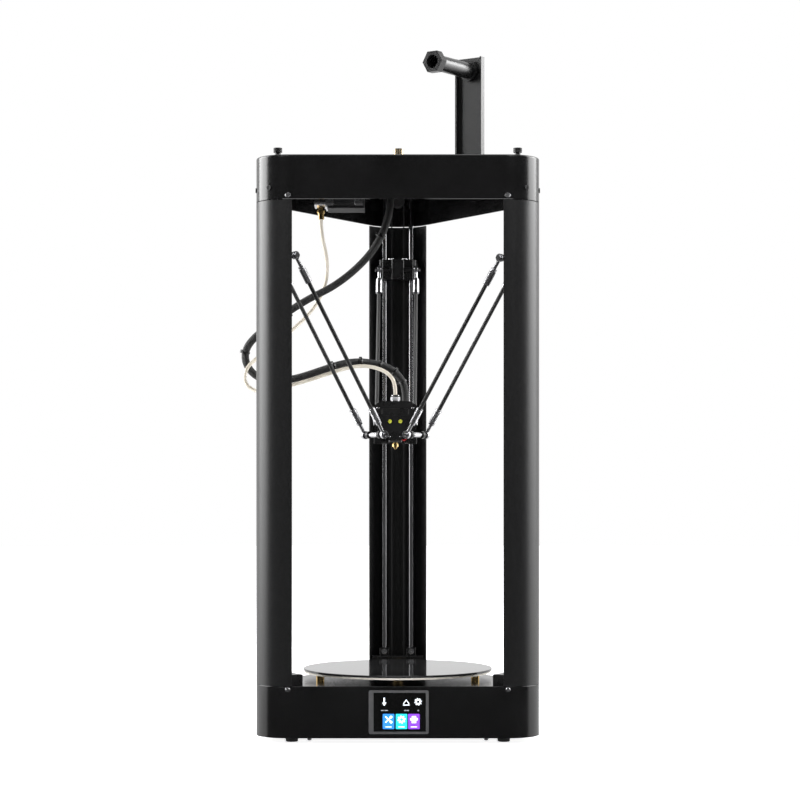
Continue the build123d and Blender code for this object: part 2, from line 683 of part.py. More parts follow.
with BuildPart() as heater_block:
    with BuildSketch(Plane.XY.offset(HEATER_BOTTOM)):
        with Locations((HEAD_X, HEAD_Y)):
            RectangleRounded(14, 12, 0.8)
    extrude(amount=HEATER_TOP - HEATER_BOTTOM)
    with BuildSketch(Plane.XZ.offset(-HEAD_Y + 6)):
        with Locations((HEAD_X + 0.8, HEATER_BOTTOM + 2.6)):
            Circle(1.5)
    extrude(amount=-1.2, mode=Mode.SUBTRACT)
save(heater_block, "heater_block")

with BuildPart() as nozzle:
    with BuildSketch(Plane.XY.offset(HEATER_BOTTOM - 1.6)):
        with Locations((HEAD_X, HEAD_Y)):
            Circle(2.6)
    extrude(amount=1.6)
    with BuildSketch(Plane.XY.offset(HEATER_BOTTOM - 4.8)):
        with Locations((HEAD_X, HEAD_Y)):
            RegularPolygon(2.85, 6, major_radius=False)
    extrude(amount=3.2)
    with BuildSketch(Plane.XY.offset(HEATER_BOTTOM - 4.8)):
        with Locations((HEAD_X, HEAD_Y)):
            Circle(2.7)
    with BuildSketch(Plane.XY.offset(NOZZLE_TIP)):
        with Locations((HEAD_X, HEAD_Y)):
            Circle(0.55)
    loft()
save(nozzle, "nozzle")

COVER_TOP = 285.0
COVER_FRONT, COVER_BACK = -17.5, -3.4
COVER_WALL = 1.6


def shield(inset):
    """The cover's front outline: wide at the top and narrowing to the bottom, in the sketch being built."""
    half = 23 - inset
    foot = 8 - inset
    with BuildLine() as edge:
        FilletPolyline(
            (HEAD_X - half, 270),
            (HEAD_X - half, COVER_TOP - 4.5 - inset / 2),
            (HEAD_X - half + 8.5, COVER_TOP - inset),
            (HEAD_X + half - 8.5, COVER_TOP - inset),
            (HEAD_X + half, COVER_TOP - 4.5 - inset / 2),
            (HEAD_X + half, 270),
            (HEAD_X + foot, 249.7),
            (HEAD_X + foot, 243 + inset),
            (HEAD_X - foot, 243 + inset),
            (HEAD_X - foot, 249.7),
            radius=2.4 - inset,
            close=True,
        )
    make_face(edge.line)


with BuildPart() as head_cover:
    with BuildSketch(Plane.XZ.offset(-COVER_BACK)):
        shield(0)
    extrude(amount=COVER_BACK - COVER_FRONT)
    with BuildSketch(Plane.XZ.offset(-COVER_BACK)):
        shield(COVER_WALL)
    extrude(amount=COVER_BACK - COVER_FRONT - COVER_WALL, mode=Mode.SUBTRACT)
    # below the plate only the front lip is left
    with BuildSketch(Plane.XY.offset(PLATE_TOP + 0.3)):
        with Locations((HEAD_X, 0)):
            Rectangle(60, 2 * (-COVER_FRONT - COVER_WALL))
    extrude(amount=-20, mode=Mode.SUBTRACT)
    # slots in the sides let the fan draw air
    with BuildSketch(Plane.YZ.offset(HEAD_X - 40)):
        for row in range(3):
            with Locations((-10, 272 + 3.2 * row)):
                SlotOverall(9, 1.4)
    extrude(amount=80, mode=Mode.SUBTRACT)
save(head_cover, "head_cover")

COLD_FAN = Plane(origin=(HEAD_X, COVER_FRONT + COVER_WALL, 271), x_dir=(1, 0, 0), z_dir=(0, -1, 0))
save(fan_rotor(COLD_FAN, 24, 8), "heatsink_fan_rotor")

REAR_FRONT, REAR_BACK = 19.5, 28.8
REAR_TOP = 280.0
DUCT_BOTTOM = 239.8
with BuildPart() as rear_housing:
    with BuildSketch(Plane.XY.offset(PLATE_TOP)):
        with Locations((HEAD_X, (REAR_FRONT + REAR_BACK) / 2)):
            Rectangle(46, REAR_BACK - REAR_FRONT)
    extrude(amount=REAR_TOP - PLATE_TOP)
    fillet(rear_housing.edges().filter_by(Axis.Y).group_by(Axis.Z)[-1], 5)
    with BuildSketch(Plane.XZ.offset(-REAR_BACK)):
        with Locations((HEAD_X, 266)):
            Rectangle(26.2, 26.2)
    extrude(amount=8.1, mode=Mode.SUBTRACT)
    # under the plate a curved duct leads the air round the back of the nozzle
    with BuildSketch(Plane.XY.offset(DUCT_BOTTOM)) as duct:
        with Locations((HEAD_X, HEAD_Y)):
            Circle(23)
            Circle(15.5, mode=Mode.SUBTRACT)
        with Locations((HEAD_X, HEAD_Y + 11)):
            Rectangle(50, 28, mode=Mode.INTERSECT)
    extrude(duct.sketch, amount=PLATE_BOTTOM - DUCT_BOTTOM)
save(rear_housing, "rear_housing")
PART_FAN = Plane(origin=(HEAD_X, REAR_BACK, 266), x_dir=(-1, 0, 0), z_dir=(0, 1, 0))
with BuildPart() as head_fan_frames:
    add(fan_frame(COLD_FAN, 24, 8).part)
    add(fan_frame(PART_FAN, 26, 8).part)
save(head_fan_frames, "head_fan_frames")
save(fan_rotor(PART_FAN, 26, 8), "part_fan_rotor")

HARNESS_END = Vector(8.5, 24.2, 286.0)
TUBE_END = Vector(HEAD_X, HEAD_Y, 292.0)
with BuildPart() as head_fittings:
    with BuildSketch(Plane.XY.offset(REAR_TOP)):
        with Locations((HARNESS_END.X, HARNESS_END.Y)):
            Circle(4.6)
    extrude(amount=HARNESS_END.Z - REAR_TOP)
    with BuildSketch(Plane.XY.offset(HEATSINK_TOP)):
        with Locations((HEAD_X, HEAD_Y)):
            RegularPolygon(5, 6)
    extrude(amount=6)
    with BuildSketch(Plane.XY.offset(HEATSINK_TOP + 6)):
        with Locations((HEAD_X, HEAD_Y)):
            Circle(4.4)
    extrude(amount=TUBE_END.Z - HEATSINK_TOP - 6)
save(head_fittings, "head_fittings")

# =====================================================================================
# Arms
# =====================================================================================
NECK_RADIUS = 1.75
EYE_RADIUS = 4.3
NUT_START, FERRULE_START, FERRULE_END = 13.0, 15.6, 31.6
FERRULE_RADIUS = 3.4
TUBE_RADIUS = 2.1


def joint_points(angle, side):
    """The centres of an arm's lower and upper ball joints."""
    low = place(angle, HEAD_JOINT_OUT, side, HEAD_Z) + HEAD
    high = place(angle, CARRIAGE_JOINT_OUT, side, 0)
    reach = Vector(high.X - low.X, high.Y - low.Y, 0).length
    high = Vector(high.X, high.Y, HEAD_Z + sqrt(ARM_LENGTH**2 - reach**2))
    return low, high


def arm_planes(angle):
    """For each arm of a tower, the plane at each end whose normal runs along the arm, and its eye's axis."""
    for side in (-PAIR_SPACING / 2, PAIR_SPACING / 2):
        low, high = joint_points(angle, side)
        along = (high - low).normalized()
        t = tangent(angle)
        eye_axis = (t - along * t.dot(along)).normalized()
        yield Plane(origin=low, x_dir=eye_axis, z_dir=along), Plane(origin=high, x_dir=eye_axis, z_dir=-along)


with BuildPart() as arm_tubes:
    for angle in TOWERS.values():
        for low_plane, _ in arm_planes(angle):
            with BuildSketch(low_plane.offset(FERRULE_END)):
                Circle(TUBE_RADIUS)
            extrude(amount=ARM_LENGTH - 2 * FERRULE_END)
save(arm_tubes, "arm_tubes")

with BuildPart() as rod_ends:
    for angle in TOWERS.values():
        for ends in arm_planes(angle):
            for end in ends:
                with BuildSketch(end.offset(FERRULE_START)):
                    Circle(FERRULE_RADIUS)
                extrude(amount=FERRULE_END - FERRULE_START)
                with BuildSketch(end):
                    Circle(NECK_RADIUS)
                extrude(amount=FERRULE_START)
                with BuildSketch(end.offset(NUT_START)):
                    RegularPolygon(3.2, 6)
                extrude(amount=2.0)
                eye = Plane(origin=end.origin - end.x_dir * EYE_HALF, x_dir=end.z_dir, z_dir=end.x_dir)
                with BuildSketch(eye):
                    Circle(EYE_RADIUS)
                extrude(amount=2 * EYE_HALF)
                with BuildSketch(eye.offset(-3)):
                    Circle(BALL_RADIUS + 0.15)
                extrude(amount=2 * EYE_HALF + 6, mode=Mode.SUBTRACT)
save(rod_ends, "rod_ends")

# =====================================================================================
# Carriages
# =====================================================================================
BARREL_RADIUS = 7.4


COLLAR_RADIUS = 2.6
COLLAR_END = 16.6


def carriage_block(angle, z):
    """A plate that holds two linear bearings on the rods and the ball pin, with a jaw beside the belt."""
    bottom = z - CARRIAGE_HEIGHT / 2
    with BuildPart() as block:
        with BuildSketch(level(angle, bottom)):
            with Locations(((CARRIAGE_PLATE + CARRIAGE_OUTER) / 2, 0)):
                RectangleRounded(CARRIAGE_OUTER - CARRIAGE_PLATE, CARRIAGE_WIDTH, 1.5)
            with Locations(((CARRIAGE_INNER + CARRIAGE_OUTER) / 2, 0)):
                RectangleRounded(CARRIAGE_OUTER - CARRIAGE_INNER, 2 * CARRIAGE_BOSS, 1.5)
            with Locations((ROD_OUT, ROD_SIDE), (ROD_OUT, -ROD_SIDE)):
                Circle(BARREL_RADIUS)
            with Locations((148, -4.3)):
                Rectangle(12, 2.6)
            with Locations((ROD_OUT, ROD_SIDE), (ROD_OUT, -ROD_SIDE)):
                Circle(BEARING_RADIUS, mode=Mode.SUBTRACT)
        extrude(amount=CARRIAGE_HEIGHT)
        disc(across(angle, CARRIAGE_JOINT_OUT, COLLAR_END, z), COLLAR_RADIUS, 2 * COLLAR_END)
        with BuildSketch(across(angle, CARRIAGE_JOINT_OUT, 40, z)):
            Circle(PIN_RADIUS)
        extrude(amount=80, mode=Mode.SUBTRACT)
    return block


def carriage_hardware(angle, z):
    """Two linear bearings that run on the rods, and a pin through the block with balls and nuts."""
    with BuildPart() as hardware:
        with BuildSketch(level(angle, z - BEARING_LENGTH / 2)):
            with Locations((ROD_OUT, ROD_SIDE), (ROD_OUT, -ROD_SIDE)):
                Circle(BEARING_RADIUS)
                Circle(ROD_RADIUS + RUNNING_GAP, mode=Mode.SUBTRACT)
        extrude(amount=BEARING_LENGTH)
        middle = place(angle, CARRIAGE_JOINT_OUT, 0, z)
        plane = facing(angle, CARRIAGE_JOINT_OUT, 0, z)
        ball_pin(plane, Axis(middle, tangent(angle)), PAIR_SPACING / 2 + 4, 1, PIN_RADIUS)
        for start in (PAIR_SPACING / 2 + 5, -PAIR_SPACING / 2 - 3):
            disc(across(angle, CARRIAGE_JOINT_OUT, start, z), 2.9, 2, sides=6)
    return hardware


for tower, tower_angle in TOWERS.items():
    carriage_z = joint_points(tower_angle, 0)[1].Z
    save(carriage_block(tower_angle, carriage_z), f"carriage_{tower}")
    save(carriage_hardware(tower_angle, carriage_z), f"carriage_hardware_{tower}")

# =====================================================================================
# Extruder, under the top
# =====================================================================================
BRACKET_THICKNESS, BRACKET_LENGTH = 1.4, 39.4
with BuildPart() as extruder_bracket:
    tray_end = EXTRUDER_MOTOR_X[1] + BRACKET_THICKNESS
    with BuildSketch(Plane.XZ.offset(-NEMA / 2)):
        with Locations((tray_end, EXTRUDER_Z - NEMA / 2)):
            Rectangle(BRACKET_LENGTH, BRACKET_THICKNESS, align=(Align.MAX, Align.MAX))
    extrude(amount=NEMA)
    with BuildSketch(Plane.YZ.offset(EXTRUDER_MOTOR_X[1])):
        with Locations((0, (EXTRUDER_Z - NEMA / 2 - BRACKET_THICKNESS + TOP_TOP - WALL) / 2)):
            Rectangle(NEMA, TOP_TOP - WALL - EXTRUDER_Z + NEMA / 2 + BRACKET_THICKNESS)
    extrude(amount=BRACKET_THICKNESS)
save(extruder_bracket, "extruder_bracket")

GEAR_RADIUS = 5.5
EXTRUDER_BODY = (-89.0, EXTRUDER_MOTOR_X[0])
BODY_WIDTH = 38.0

with BuildPart() as extruder_body:
    with BuildSketch(Plane.YZ.offset(EXTRUDER_BODY[0])):
        with Locations((0, EXTRUDER_Z)):
            RectangleRounded(BODY_WIDTH, 38, 3)
            Circle(12.4, mode=Mode.SUBTRACT)
        with Locations((14, EXTRUDER_Z + 6)):
            Rectangle(14, 28, mode=Mode.SUBTRACT)
    extrude(amount=EXTRUDER_BODY[1] - EXTRUDER_BODY[0])
    with BuildSketch(Plane.XY.offset(EXTRUDER_Z - 25)):
        with Locations((FILAMENT_X, 6.2)):
            Circle(1.1)
    extrude(amount=50, mode=Mode.SUBTRACT)
save(extruder_body, "extruder_body")

with BuildPart() as drive_gear:
    with BuildSketch(Plane.YZ.offset(EXTRUDER_BODY[0] + 0.4)):
        with Locations((0, EXTRUDER_Z)):
            Circle(GEAR_RADIUS - 0.3)
            with PolarLocations(GEAR_RADIUS - 0.3, 26):
                Circle(0.3, mode=Mode.SUBTRACT)
            Circle(SHAFT_RADIUS + RUNNING_GAP, mode=Mode.SUBTRACT)
    extrude(amount=9)
save(drive_gear, "drive_gear")

PRESS_Y = 6.2 + 1.0 + 4.0
LEVER_X = (-86.0, -80.0)
with BuildPart() as idler_lever:
    with BuildSketch(Plane.YZ.offset(LEVER_X[0] - 2.4)):
        with BuildLine():
            Polyline(
                (13, EXTRUDER_Z - 7.5),
                (13, EXTRUDER_Z + 14),
                (17.5, EXTRUDER_Z + 16),
                (17.5, EXTRUDER_Z - 7.5),
                close=True,
            )
        make_face()
    extrude(amount=2.0)
    with BuildSketch(Plane.YZ.offset(LEVER_X[0])):
        with Locations((PRESS_Y, EXTRUDER_Z)):
            Circle(3.8)
            Circle(1.5, mode=Mode.SUBTRACT)
    extrude(amount=4)
save(idler_lever, "idler_lever")

TUBE_START = Vector(FILAMENT_X, 6.2, 481.0)
GUIDE_HEIGHT = 9.5
with BuildPart() as filament_fittings:
    with BuildSketch(Plane.XY.offset(EXTRUDER_Z - 19)):
        with Locations((FILAMENT_X, 6.2)):
            RegularPolygon(4.2, 6)
    extrude(amount=-6)
    with BuildSketch(Plane.XY.offset(EXTRUDER_Z - 25)):
        with Locations((FILAMENT_X, 6.2)):
            Circle(3.4)
    extrude(amount=TUBE_START.Z - (EXTRUDER_Z - 25))
    # the guide that leads the filament in through the top
    with BuildSketch(Plane.XY.offset(TOP_TOP)):
        with Locations(FILAMENT_GUIDE):
            Circle(GUIDE_BARREL)
    extrude(amount=GUIDE_HEIGHT)
    with BuildSketch(Plane.XY.offset(TOP_TOP - 6)):
        with Locations(FILAMENT_GUIDE):
            Circle(GUIDE_STEM)
    extrude(amount=6)
    with BuildSketch(Plane.XY.offset(TOP_TOP - 6)):
        with Locations(FILAMENT_GUIDE):
            Circle(GUIDE_BORE)
    extrude(amount=GUIDE_HEIGHT + 6, mode=Mode.SUBTRACT)
save(filament_fittings, "filament_fittings")

# =====================================================================================
# Spool holder, on the top
# =====================================================================================
PLATE_WIDTH = (SPOOL_LEFT - SPOOL_RIGHT).length
SPOOL_ACROSS = (SPOOL_LEFT - SPOOL_RIGHT).normalized()
SPOOL_OUT = Vector(-SPOOL_ACROSS.Y, SPOOL_ACROSS.X, 0)  # from the plate towards the front
SPOOL_MIDDLE = (SPOOL_LEFT + SPOOL_RIGHT) * 0.5
SPOOL_SHEET = 2.0
SPOOL_FLANGE = 6.4
SPOOL_FOOT = 24.0


def spool_plane(out, z):
    """The plane parallel to the bracket's plate, a distance in front of it, centred at a height."""
    return Plane(
        origin=SPOOL_MIDDLE + SPOOL_OUT * out + Vector(0, 0, z),
        x_dir=-SPOOL_ACROSS,
        z_dir=SPOOL_OUT,
    )


with BuildPart() as spool_bracket:
    foot_plane = Plane(
        origin=SPOOL_MIDDLE - SPOOL_OUT * SPOOL_SHEET + Vector(0, 0, TOP_TOP),
        x_dir=SPOOL_ACROSS,
        z_dir=(0, 0, 1),
    )
    with BuildSketch(foot_plane):
        Rectangle(PLATE_WIDTH, SPOOL_SHEET, align=(Align.CENTER, Align.MIN))
        for edge in (-1, 1):
            with Locations((edge * (PLATE_WIDTH - SPOOL_SHEET) / 2, 0)):
                Rectangle(SPOOL_SHEET, SPOOL_FLANGE, align=(Align.CENTER, Align.MIN))
    extrude(amount=SPOOL_TOP - TOP_TOP)
    with BuildSketch(foot_plane):
        Rectangle(PLATE_WIDTH, SPOOL_FOOT, align=(Align.CENTER, Align.MIN))
    extrude(amount=SPOOL_SHEET)
    with BuildSketch(spool_plane(0, SPOOL_AXIS_Z)):
        Circle(6.2)
    extrude(amount=-SPOOL_SHEET, mode=Mode.SUBTRACT)
save(spool_bracket, "spool_bracket")

with BuildPart() as spool_axle:
    with BuildSketch(spool_plane(5, SPOOL_AXIS_Z)):
        Circle(8.5)
    extrude(amount=SPOOL_TUBE_LENGTH - 5)
    with BuildSketch(spool_plane(-SPOOL_SHEET, SPOOL_AXIS_Z)):
        Circle(6.2)
    extrude(amount=SPOOL_SHEET + 5)
    with BuildSketch(spool_plane(SPOOL_TUBE_LENGTH, SPOOL_AXIS_Z)):
        Circle(7.0)
    extrude(amount=-SPOOL_TUBE_LENGTH + 5, mode=Mode.SUBTRACT)
    with BuildSketch(spool_plane(0, SPOOL_AXIS_Z)):
        Circle(11)
        Circle(6.2, mode=Mode.SUBTRACT)
    extrude(amount=5)
    with BuildSketch(spool_plane(-SPOOL_SHEET, SPOOL_AXIS_Z)):
        RegularPolygon(10, 6)
        Circle(6.2, mode=Mode.SUBTRACT)
    extrude(amount=-4)
    with BuildSketch(spool_plane(SPOOL_TUBE_LENGTH, SPOOL_AXIS_Z)):
        RegularPolygon(12.5, 6)
        Circle(7.0, mode=Mode.SUBTRACT)
    extrude(amount=CAP_LENGTH)
save(spool_axle, "spool_axle")

# =====================================================================================
# Screws in the outer faces
# =====================================================================================
SCREW_HEIGHTS = (493.9, -14.4)
SCREW_TURN = 2.6  # the screws of each side stand just round its corners, by this angle
CORNER_SCREW_TURN, CORNER_SCREW_Z = 24, 502.5


def button_screw(plane):
    """A low domed screw head with a hexagon socket that stands on a plane, added to the part being built."""
    with BuildSketch(plane) as rim:
        Circle(2.9)
    with BuildSketch(plane.offset(1.4)) as crown:
        Circle(1.9)
    loft([rim.sketch, crown.sketch])
    disc(plane.offset(1.4), 1.2, -0.8, Mode.SUBTRACT, 6)


def corner_plane(angle, turn, z):
    """The plane that touches a tower's round corner, turned from its middle, with y up."""
    direction = angle + turn
    at = radial(angle) * CORNER_OUT + radial(direction) * CORNER_RADIUS + Vector(0, 0, z)
    return Plane(origin=at, x_dir=tangent(direction), z_dir=radial(direction))


with BuildPart() as frame_screws:
    for angle in TOWERS.values():
        for side in (ROD_SIDE, -ROD_SIDE):
            head = place(angle, CLAMP_INNER, side, CLAMP_SCREW_Z)
            socket_screw(Plane(origin=head, x_dir=tangent(angle), z_dir=-radial(angle)), 3.25, 3.0)
    for angle in TOWERS.values():
        for side in (-1, 1):
            for z in SCREW_HEIGHTS:
                button_screw(corner_plane(angle, side * (60 - SCREW_TURN), z))
            socket_screw(corner_plane(angle, side * CORNER_SCREW_TURN, CORNER_SCREW_Z), 2.6, 0.8)
save(frame_screws, "frame_screws")

# =====================================================================================
# Cords between the top and the print head
# =====================================================================================
HARNESS = [
    (-7, 40, TOP_TOP - WALL),
    (-7, 40, 505),
    (-12.8, 39, 476),
    (-30, 34, 444.4),
    (-64.5, 26, 412.8),
    (-100.2, 17, 394.8),
    (-133, 6, 371),
    (-156, -1, 352),
    (-164, -4, 338),
    (-162, -6, 323.5),
    (-152.5, -7, 312),
    (-137, -5.5, 306.5),
    (-112, -1, 308.5),
    (-84, 6.5, 318),
    (-62, 12.5, 326),
    (-42, 17.5, 329),
    (-21.4, 21, 326.5),
    (-5.5, 23.2, 320.5),
    (5, 24.2, 309),
    (8.5, 24.2, 297),
    (8.5, 24.2, 286),
]
PTFE = [
    (FILAMENT_X, 6.2, 481),
    (FILAMENT_X, 6.2, 466),
    (-75.5, 15, 438),
    (-78, 33, 412),
    (-92, 41, 386),
    (-118, 26, 360),
    (-137, 7, 343),
    (-152, -10, 330),
    (-160.5, -18.5, 320.5),
    (-163.5, -22.5, 309),
    (-159, -24, 299.5),
    (-148, -22, 294.3),
    (-130, -16, 298),
    (-108, -9, 303.5),
    (-84, -1.5, 311.5),
    (-60, 4, 320),
    (-40, 6.5, 324),
    (-24, 7.6, 322),
    (-11, 7.8, 316.5),
    (HEAD_X, HEAD_Y, 306),
    (HEAD_X, HEAD_Y, 292),
]


def corner_radii(points):
    """For each inner point of a route, the radius of its arc: 0.45 of the shorter run over tan(half turn)."""
    found = []
    for before, here, after in zip(points, points[1:], points[2:]):
        first, second = Vector(*here) - Vector(*before), Vector(*after) - Vector(*here)
        half_turn = radians(first.get_angle(second)) / 2
        found.append(0.45 * min(first.length, second.length) / tan(half_turn))
    return found


def cord(points, diameter, name):
    """A cord's tube along straight runs joined by tangent arcs, with its radii and its volume printed."""
    radii = corner_radii(points)
    with BuildPart() as tube:
        with BuildLine():
            path = FilletPolyline(*points, radius=radii)
        with BuildSketch(Plane(origin=path @ 0, z_dir=path % 0)):
            Circle(diameter / 2)
        sweep()
    expected = path.length * pi * diameter**2 / 4
    runs = [(Vector(*b) - Vector(*a)).length for a, b in zip(points, points[1:])]
    print(name, "length", round(path.length, 1), "radii", [round(r) for r in radii])
    print(name, "runs", [round(r) for r in runs], "volume ratio", round(tube.part.volume / expected, 4))
    save(tube, name)
    return path


cord(HARNESS, HARNESS_DIAMETER, "wire_harness")
cord(PTFE, TUBE_DIAMETER, "filament_tube")
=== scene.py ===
"""The looks of the delta 3D printer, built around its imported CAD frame. Everything is in metres."""
import json
from math import cos, pi, radians, sin

import bmesh
import bpy
from mathutils import Matrix, Vector


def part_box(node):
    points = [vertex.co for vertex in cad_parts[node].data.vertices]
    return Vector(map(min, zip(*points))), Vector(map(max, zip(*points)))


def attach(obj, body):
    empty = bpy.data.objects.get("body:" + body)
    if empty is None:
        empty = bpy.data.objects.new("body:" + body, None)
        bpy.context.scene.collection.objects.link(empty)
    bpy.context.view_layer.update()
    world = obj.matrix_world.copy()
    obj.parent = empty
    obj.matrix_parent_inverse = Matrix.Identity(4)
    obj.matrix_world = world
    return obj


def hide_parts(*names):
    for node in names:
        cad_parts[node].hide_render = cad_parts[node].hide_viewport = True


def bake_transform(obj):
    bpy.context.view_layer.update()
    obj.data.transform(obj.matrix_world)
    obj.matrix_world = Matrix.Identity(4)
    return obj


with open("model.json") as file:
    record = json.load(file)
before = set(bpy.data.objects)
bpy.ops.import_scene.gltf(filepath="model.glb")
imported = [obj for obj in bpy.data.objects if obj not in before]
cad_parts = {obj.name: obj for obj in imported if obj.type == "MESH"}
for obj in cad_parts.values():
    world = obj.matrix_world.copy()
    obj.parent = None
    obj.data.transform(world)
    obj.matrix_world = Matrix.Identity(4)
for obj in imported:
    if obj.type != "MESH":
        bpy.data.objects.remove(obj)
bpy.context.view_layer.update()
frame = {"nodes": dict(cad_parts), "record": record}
NODES = frame["nodes"]
SCENE = bpy.context.scene

MM = 0.001
TOWERS = {"left": 210, "right": 330, "back": 90}

# =====================================================================================
# Camera, set up first
# =====================================================================================
CAMERA_AT = (0, -2.369, 0.2098)
camera_data = bpy.data.cameras.new("camera")
camera_data.lens = 99.4
camera_data.sensor_width = 36
camera_data.shift_x = 0.0028
camera_data.shift_y = 0.0896
camera_data.clip_end = 50
camera = bpy.data.objects.new("camera", camera_data)
camera.location = CAMERA_AT
camera.rotation_euler = (radians(90), 0, 0)
SCENE.collection.objects.link(camera)
SCENE.camera = camera

# =====================================================================================
# Materials
# =====================================================================================


class Nodes:
    """Adds nodes to a material by short calls, and links them."""

    def __init__(self, name):
        self.material = bpy.data.materials.new(name)
        self.material.use_nodes = True
        self.tree = self.material.node_tree
        self.shader = self.tree.nodes["Principled BSDF"]
        self.place = self.tree.nodes.new("ShaderNodeTexCoord").outputs["Object"]

    def add(self, kind, **values):
        """A node of that kind with input values or attributes set by name."""
        node = self.tree.nodes.new(kind)
        for key, value in values.items():
            if key in node.inputs:
                node.inputs[key].default_value = value
            else:
                setattr(node, key, value)
        return node

    def link(self, start, end):
        self.tree.links.new(start, end)

    def stretched(self, scale):
        """Object coordinates multiplied along each axis."""
        mapping = self.add("ShaderNodeMapping", Scale=scale)
        self.link(self.place, mapping.inputs["Vector"])
        return mapping.outputs["Vector"]

    def noise(self, scale, detail=4.0, where=None):
        node = self.add("ShaderNodeTexNoise", Scale=scale, Detail=detail)
        self.link(where or self.place, node.inputs["Vector"])
        return node.outputs["Fac"]

    def ramp(self, source, low, high, low_at=0.3, high_at=0.7):
        """A colour that runs from low to high as source runs between two values."""
        node = self.add("ShaderNodeValToRGB")
        ends = node.color_ramp.elements
        ends[0].position, ends[1].position = low_at, high_at
        ends[0].color, ends[1].color = (*low, 1), (*high, 1)
        self.link(source, node.inputs["Fac"])
        return node.outputs["Color"]

    def spread(self, source, low, high):
        """A value that runs from low to high as source runs from 0.3 to 0.7."""
        node = self.add("ShaderNodeMapRange")
        for key, value in (("From Min", 0.3), ("From Max", 0.7), ("To Min", low), ("To Max", high)):
            node.inputs[key].default_value = value
        self.link(source, node.inputs["Value"])
        return node.outputs["Result"]

    def bump(self, source, depth, strength=1.0):
        node = self.add("ShaderNodeBump", Distance=depth, Strength=strength)
        self.link(source, node.inputs["Height"])
        self.link(node.outputs["Normal"], self.shader.inputs["Normal"])


def surface(name, dark, light, rough, patch=60.0, grain=0.0, depth=0.0, metallic=0.0, **shader):
    """A material with broad colour variation, roughness that varies with it, and a fine grain."""
    n = Nodes(name)
    broad = n.noise(patch)
    n.link(n.ramp(broad, dark, light), n.shader.inputs["Base Color"])
    n.link(n.spread(broad, rough[0], rough[1]), n.shader.inputs["Roughness"])
    n.shader.inputs["Metallic"].default_value = metallic
    for key, value in shader.items():
        n.shader.inputs[key.replace("_", " ")].default_value = value
    if grain:
        n.bump(n.noise(grain, 2.0), depth)
    return n


def brushed(name, dark, light, rough, stretch, depth=0.00002):
    """Machined metal with fine lines along one axis."""
    n = Nodes(name)
    lines = n.noise(1.0, 3.0, n.stretched(stretch))
    n.link(n.ramp(lines, dark, light), n.shader.inputs["Base Color"])
    n.link(n.spread(lines, rough[0], rough[1]), n.shader.inputs["Roughness"])
    n.shader.inputs["Metallic"].default_value = 1.0
    n.bump(lines, depth)
    return n


def grey(value):
    return (value, value, value * 1.03)


MATERIALS = {
    "black_frame": surface("black_frame", grey(0.003), grey(0.005), (0.18, 0.22), 25, 2600, 0.00002),
    "black_powder": surface("black_powder", grey(0.006), grey(0.010), (0.28, 0.36), 500, 1500, 0.00008),
    "rubber": surface("rubber", grey(0.012), grey(0.02), (0.7, 0.85), 90, 1200, 0.00006),
    "chrome_rod": surface("chrome_rod", grey(0.42), grey(0.52), (0.1, 0.17), 40, 0, 0, 1.0),
    "black_plastic": surface("black_plastic", grey(0.006), grey(0.010), (0.24, 0.34), 120, 1800, 0.00003),
    "motor_black": surface("motor_black", grey(0.010), grey(0.018), (0.3, 0.42), 80, 900, 0.00003),
    "bracket_steel": surface("bracket_steel", grey(0.42), grey(0.62), (0.25, 0.4), 70, 900, 0.00002, 1.0),
    "aluminium": brushed("aluminium", grey(0.52), grey(0.72), (0.22, 0.36), (250, 250, 2500)),
    "bright_steel": surface("bright_steel", grey(0.58), grey(0.72), (0.14, 0.24), 200, 0, 0, 1.0),
    "brass": surface("brass", (0.62, 0.42, 0.16), (0.78, 0.56, 0.25), (0.18, 0.3), 300, 0, 0, 1.0),
    "bezel_grey": surface("bezel_grey", grey(0.065), grey(0.085), (0.35, 0.45), 150, 1500, 0.00002),
    "circuit_board": surface("circuit_board", (0.005, 0.05, 0.03), (0.008, 0.08, 0.05), (0.3, 0.45), 400),
    "ptfe": surface("ptfe", (0.64, 0.58, 0.48), (0.74, 0.69, 0.59), (0.24, 0.32), 90),
    "pale_brass": brushed("pale_brass", (0.20, 0.16, 0.10), (0.62, 0.52, 0.36), (0.2, 0.4), (900, 900, 12)),
    # partly the bracket's own dark colour, partly painted shade: the black for the extruder bracket's faces
    # that do not face the front or up
    "bracket_dark_and_shade": surface("bracket_dark_and_shade", grey(0.010), grey(0.014), (0.6, 0.75), 90, 1200, 0.00003),
    "plate_edge": surface("plate_edge", (0.72, 0.68, 0.60), (0.86, 0.82, 0.74), (0.3, 0.45), 60, 0, 0, 0.3),
    "white_plastic": surface("white_plastic", grey(0.6), grey(0.72), (0.3, 0.4), 200),
    "red_wire": surface("red_wire", (0.45, 0.012, 0.012), (0.6, 0.02, 0.02), (0.35, 0.45), 200),
    "yellow_dot": surface("yellow_dot", (0.40, 0.42, 0.02), (0.50, 0.52, 0.03), (0.4, 0.5), 300),
}

glass = surface("bed_glass", grey(0.016), grey(0.022), (0.05, 0.09), 12)
glass.shader.inputs["IOR"].default_value = 1.6
MATERIALS["bed_glass"] = glass

screen = surface("screen", grey(0.002), grey(0.004), (0.05, 0.1), 20)
MATERIALS["screen"] = screen


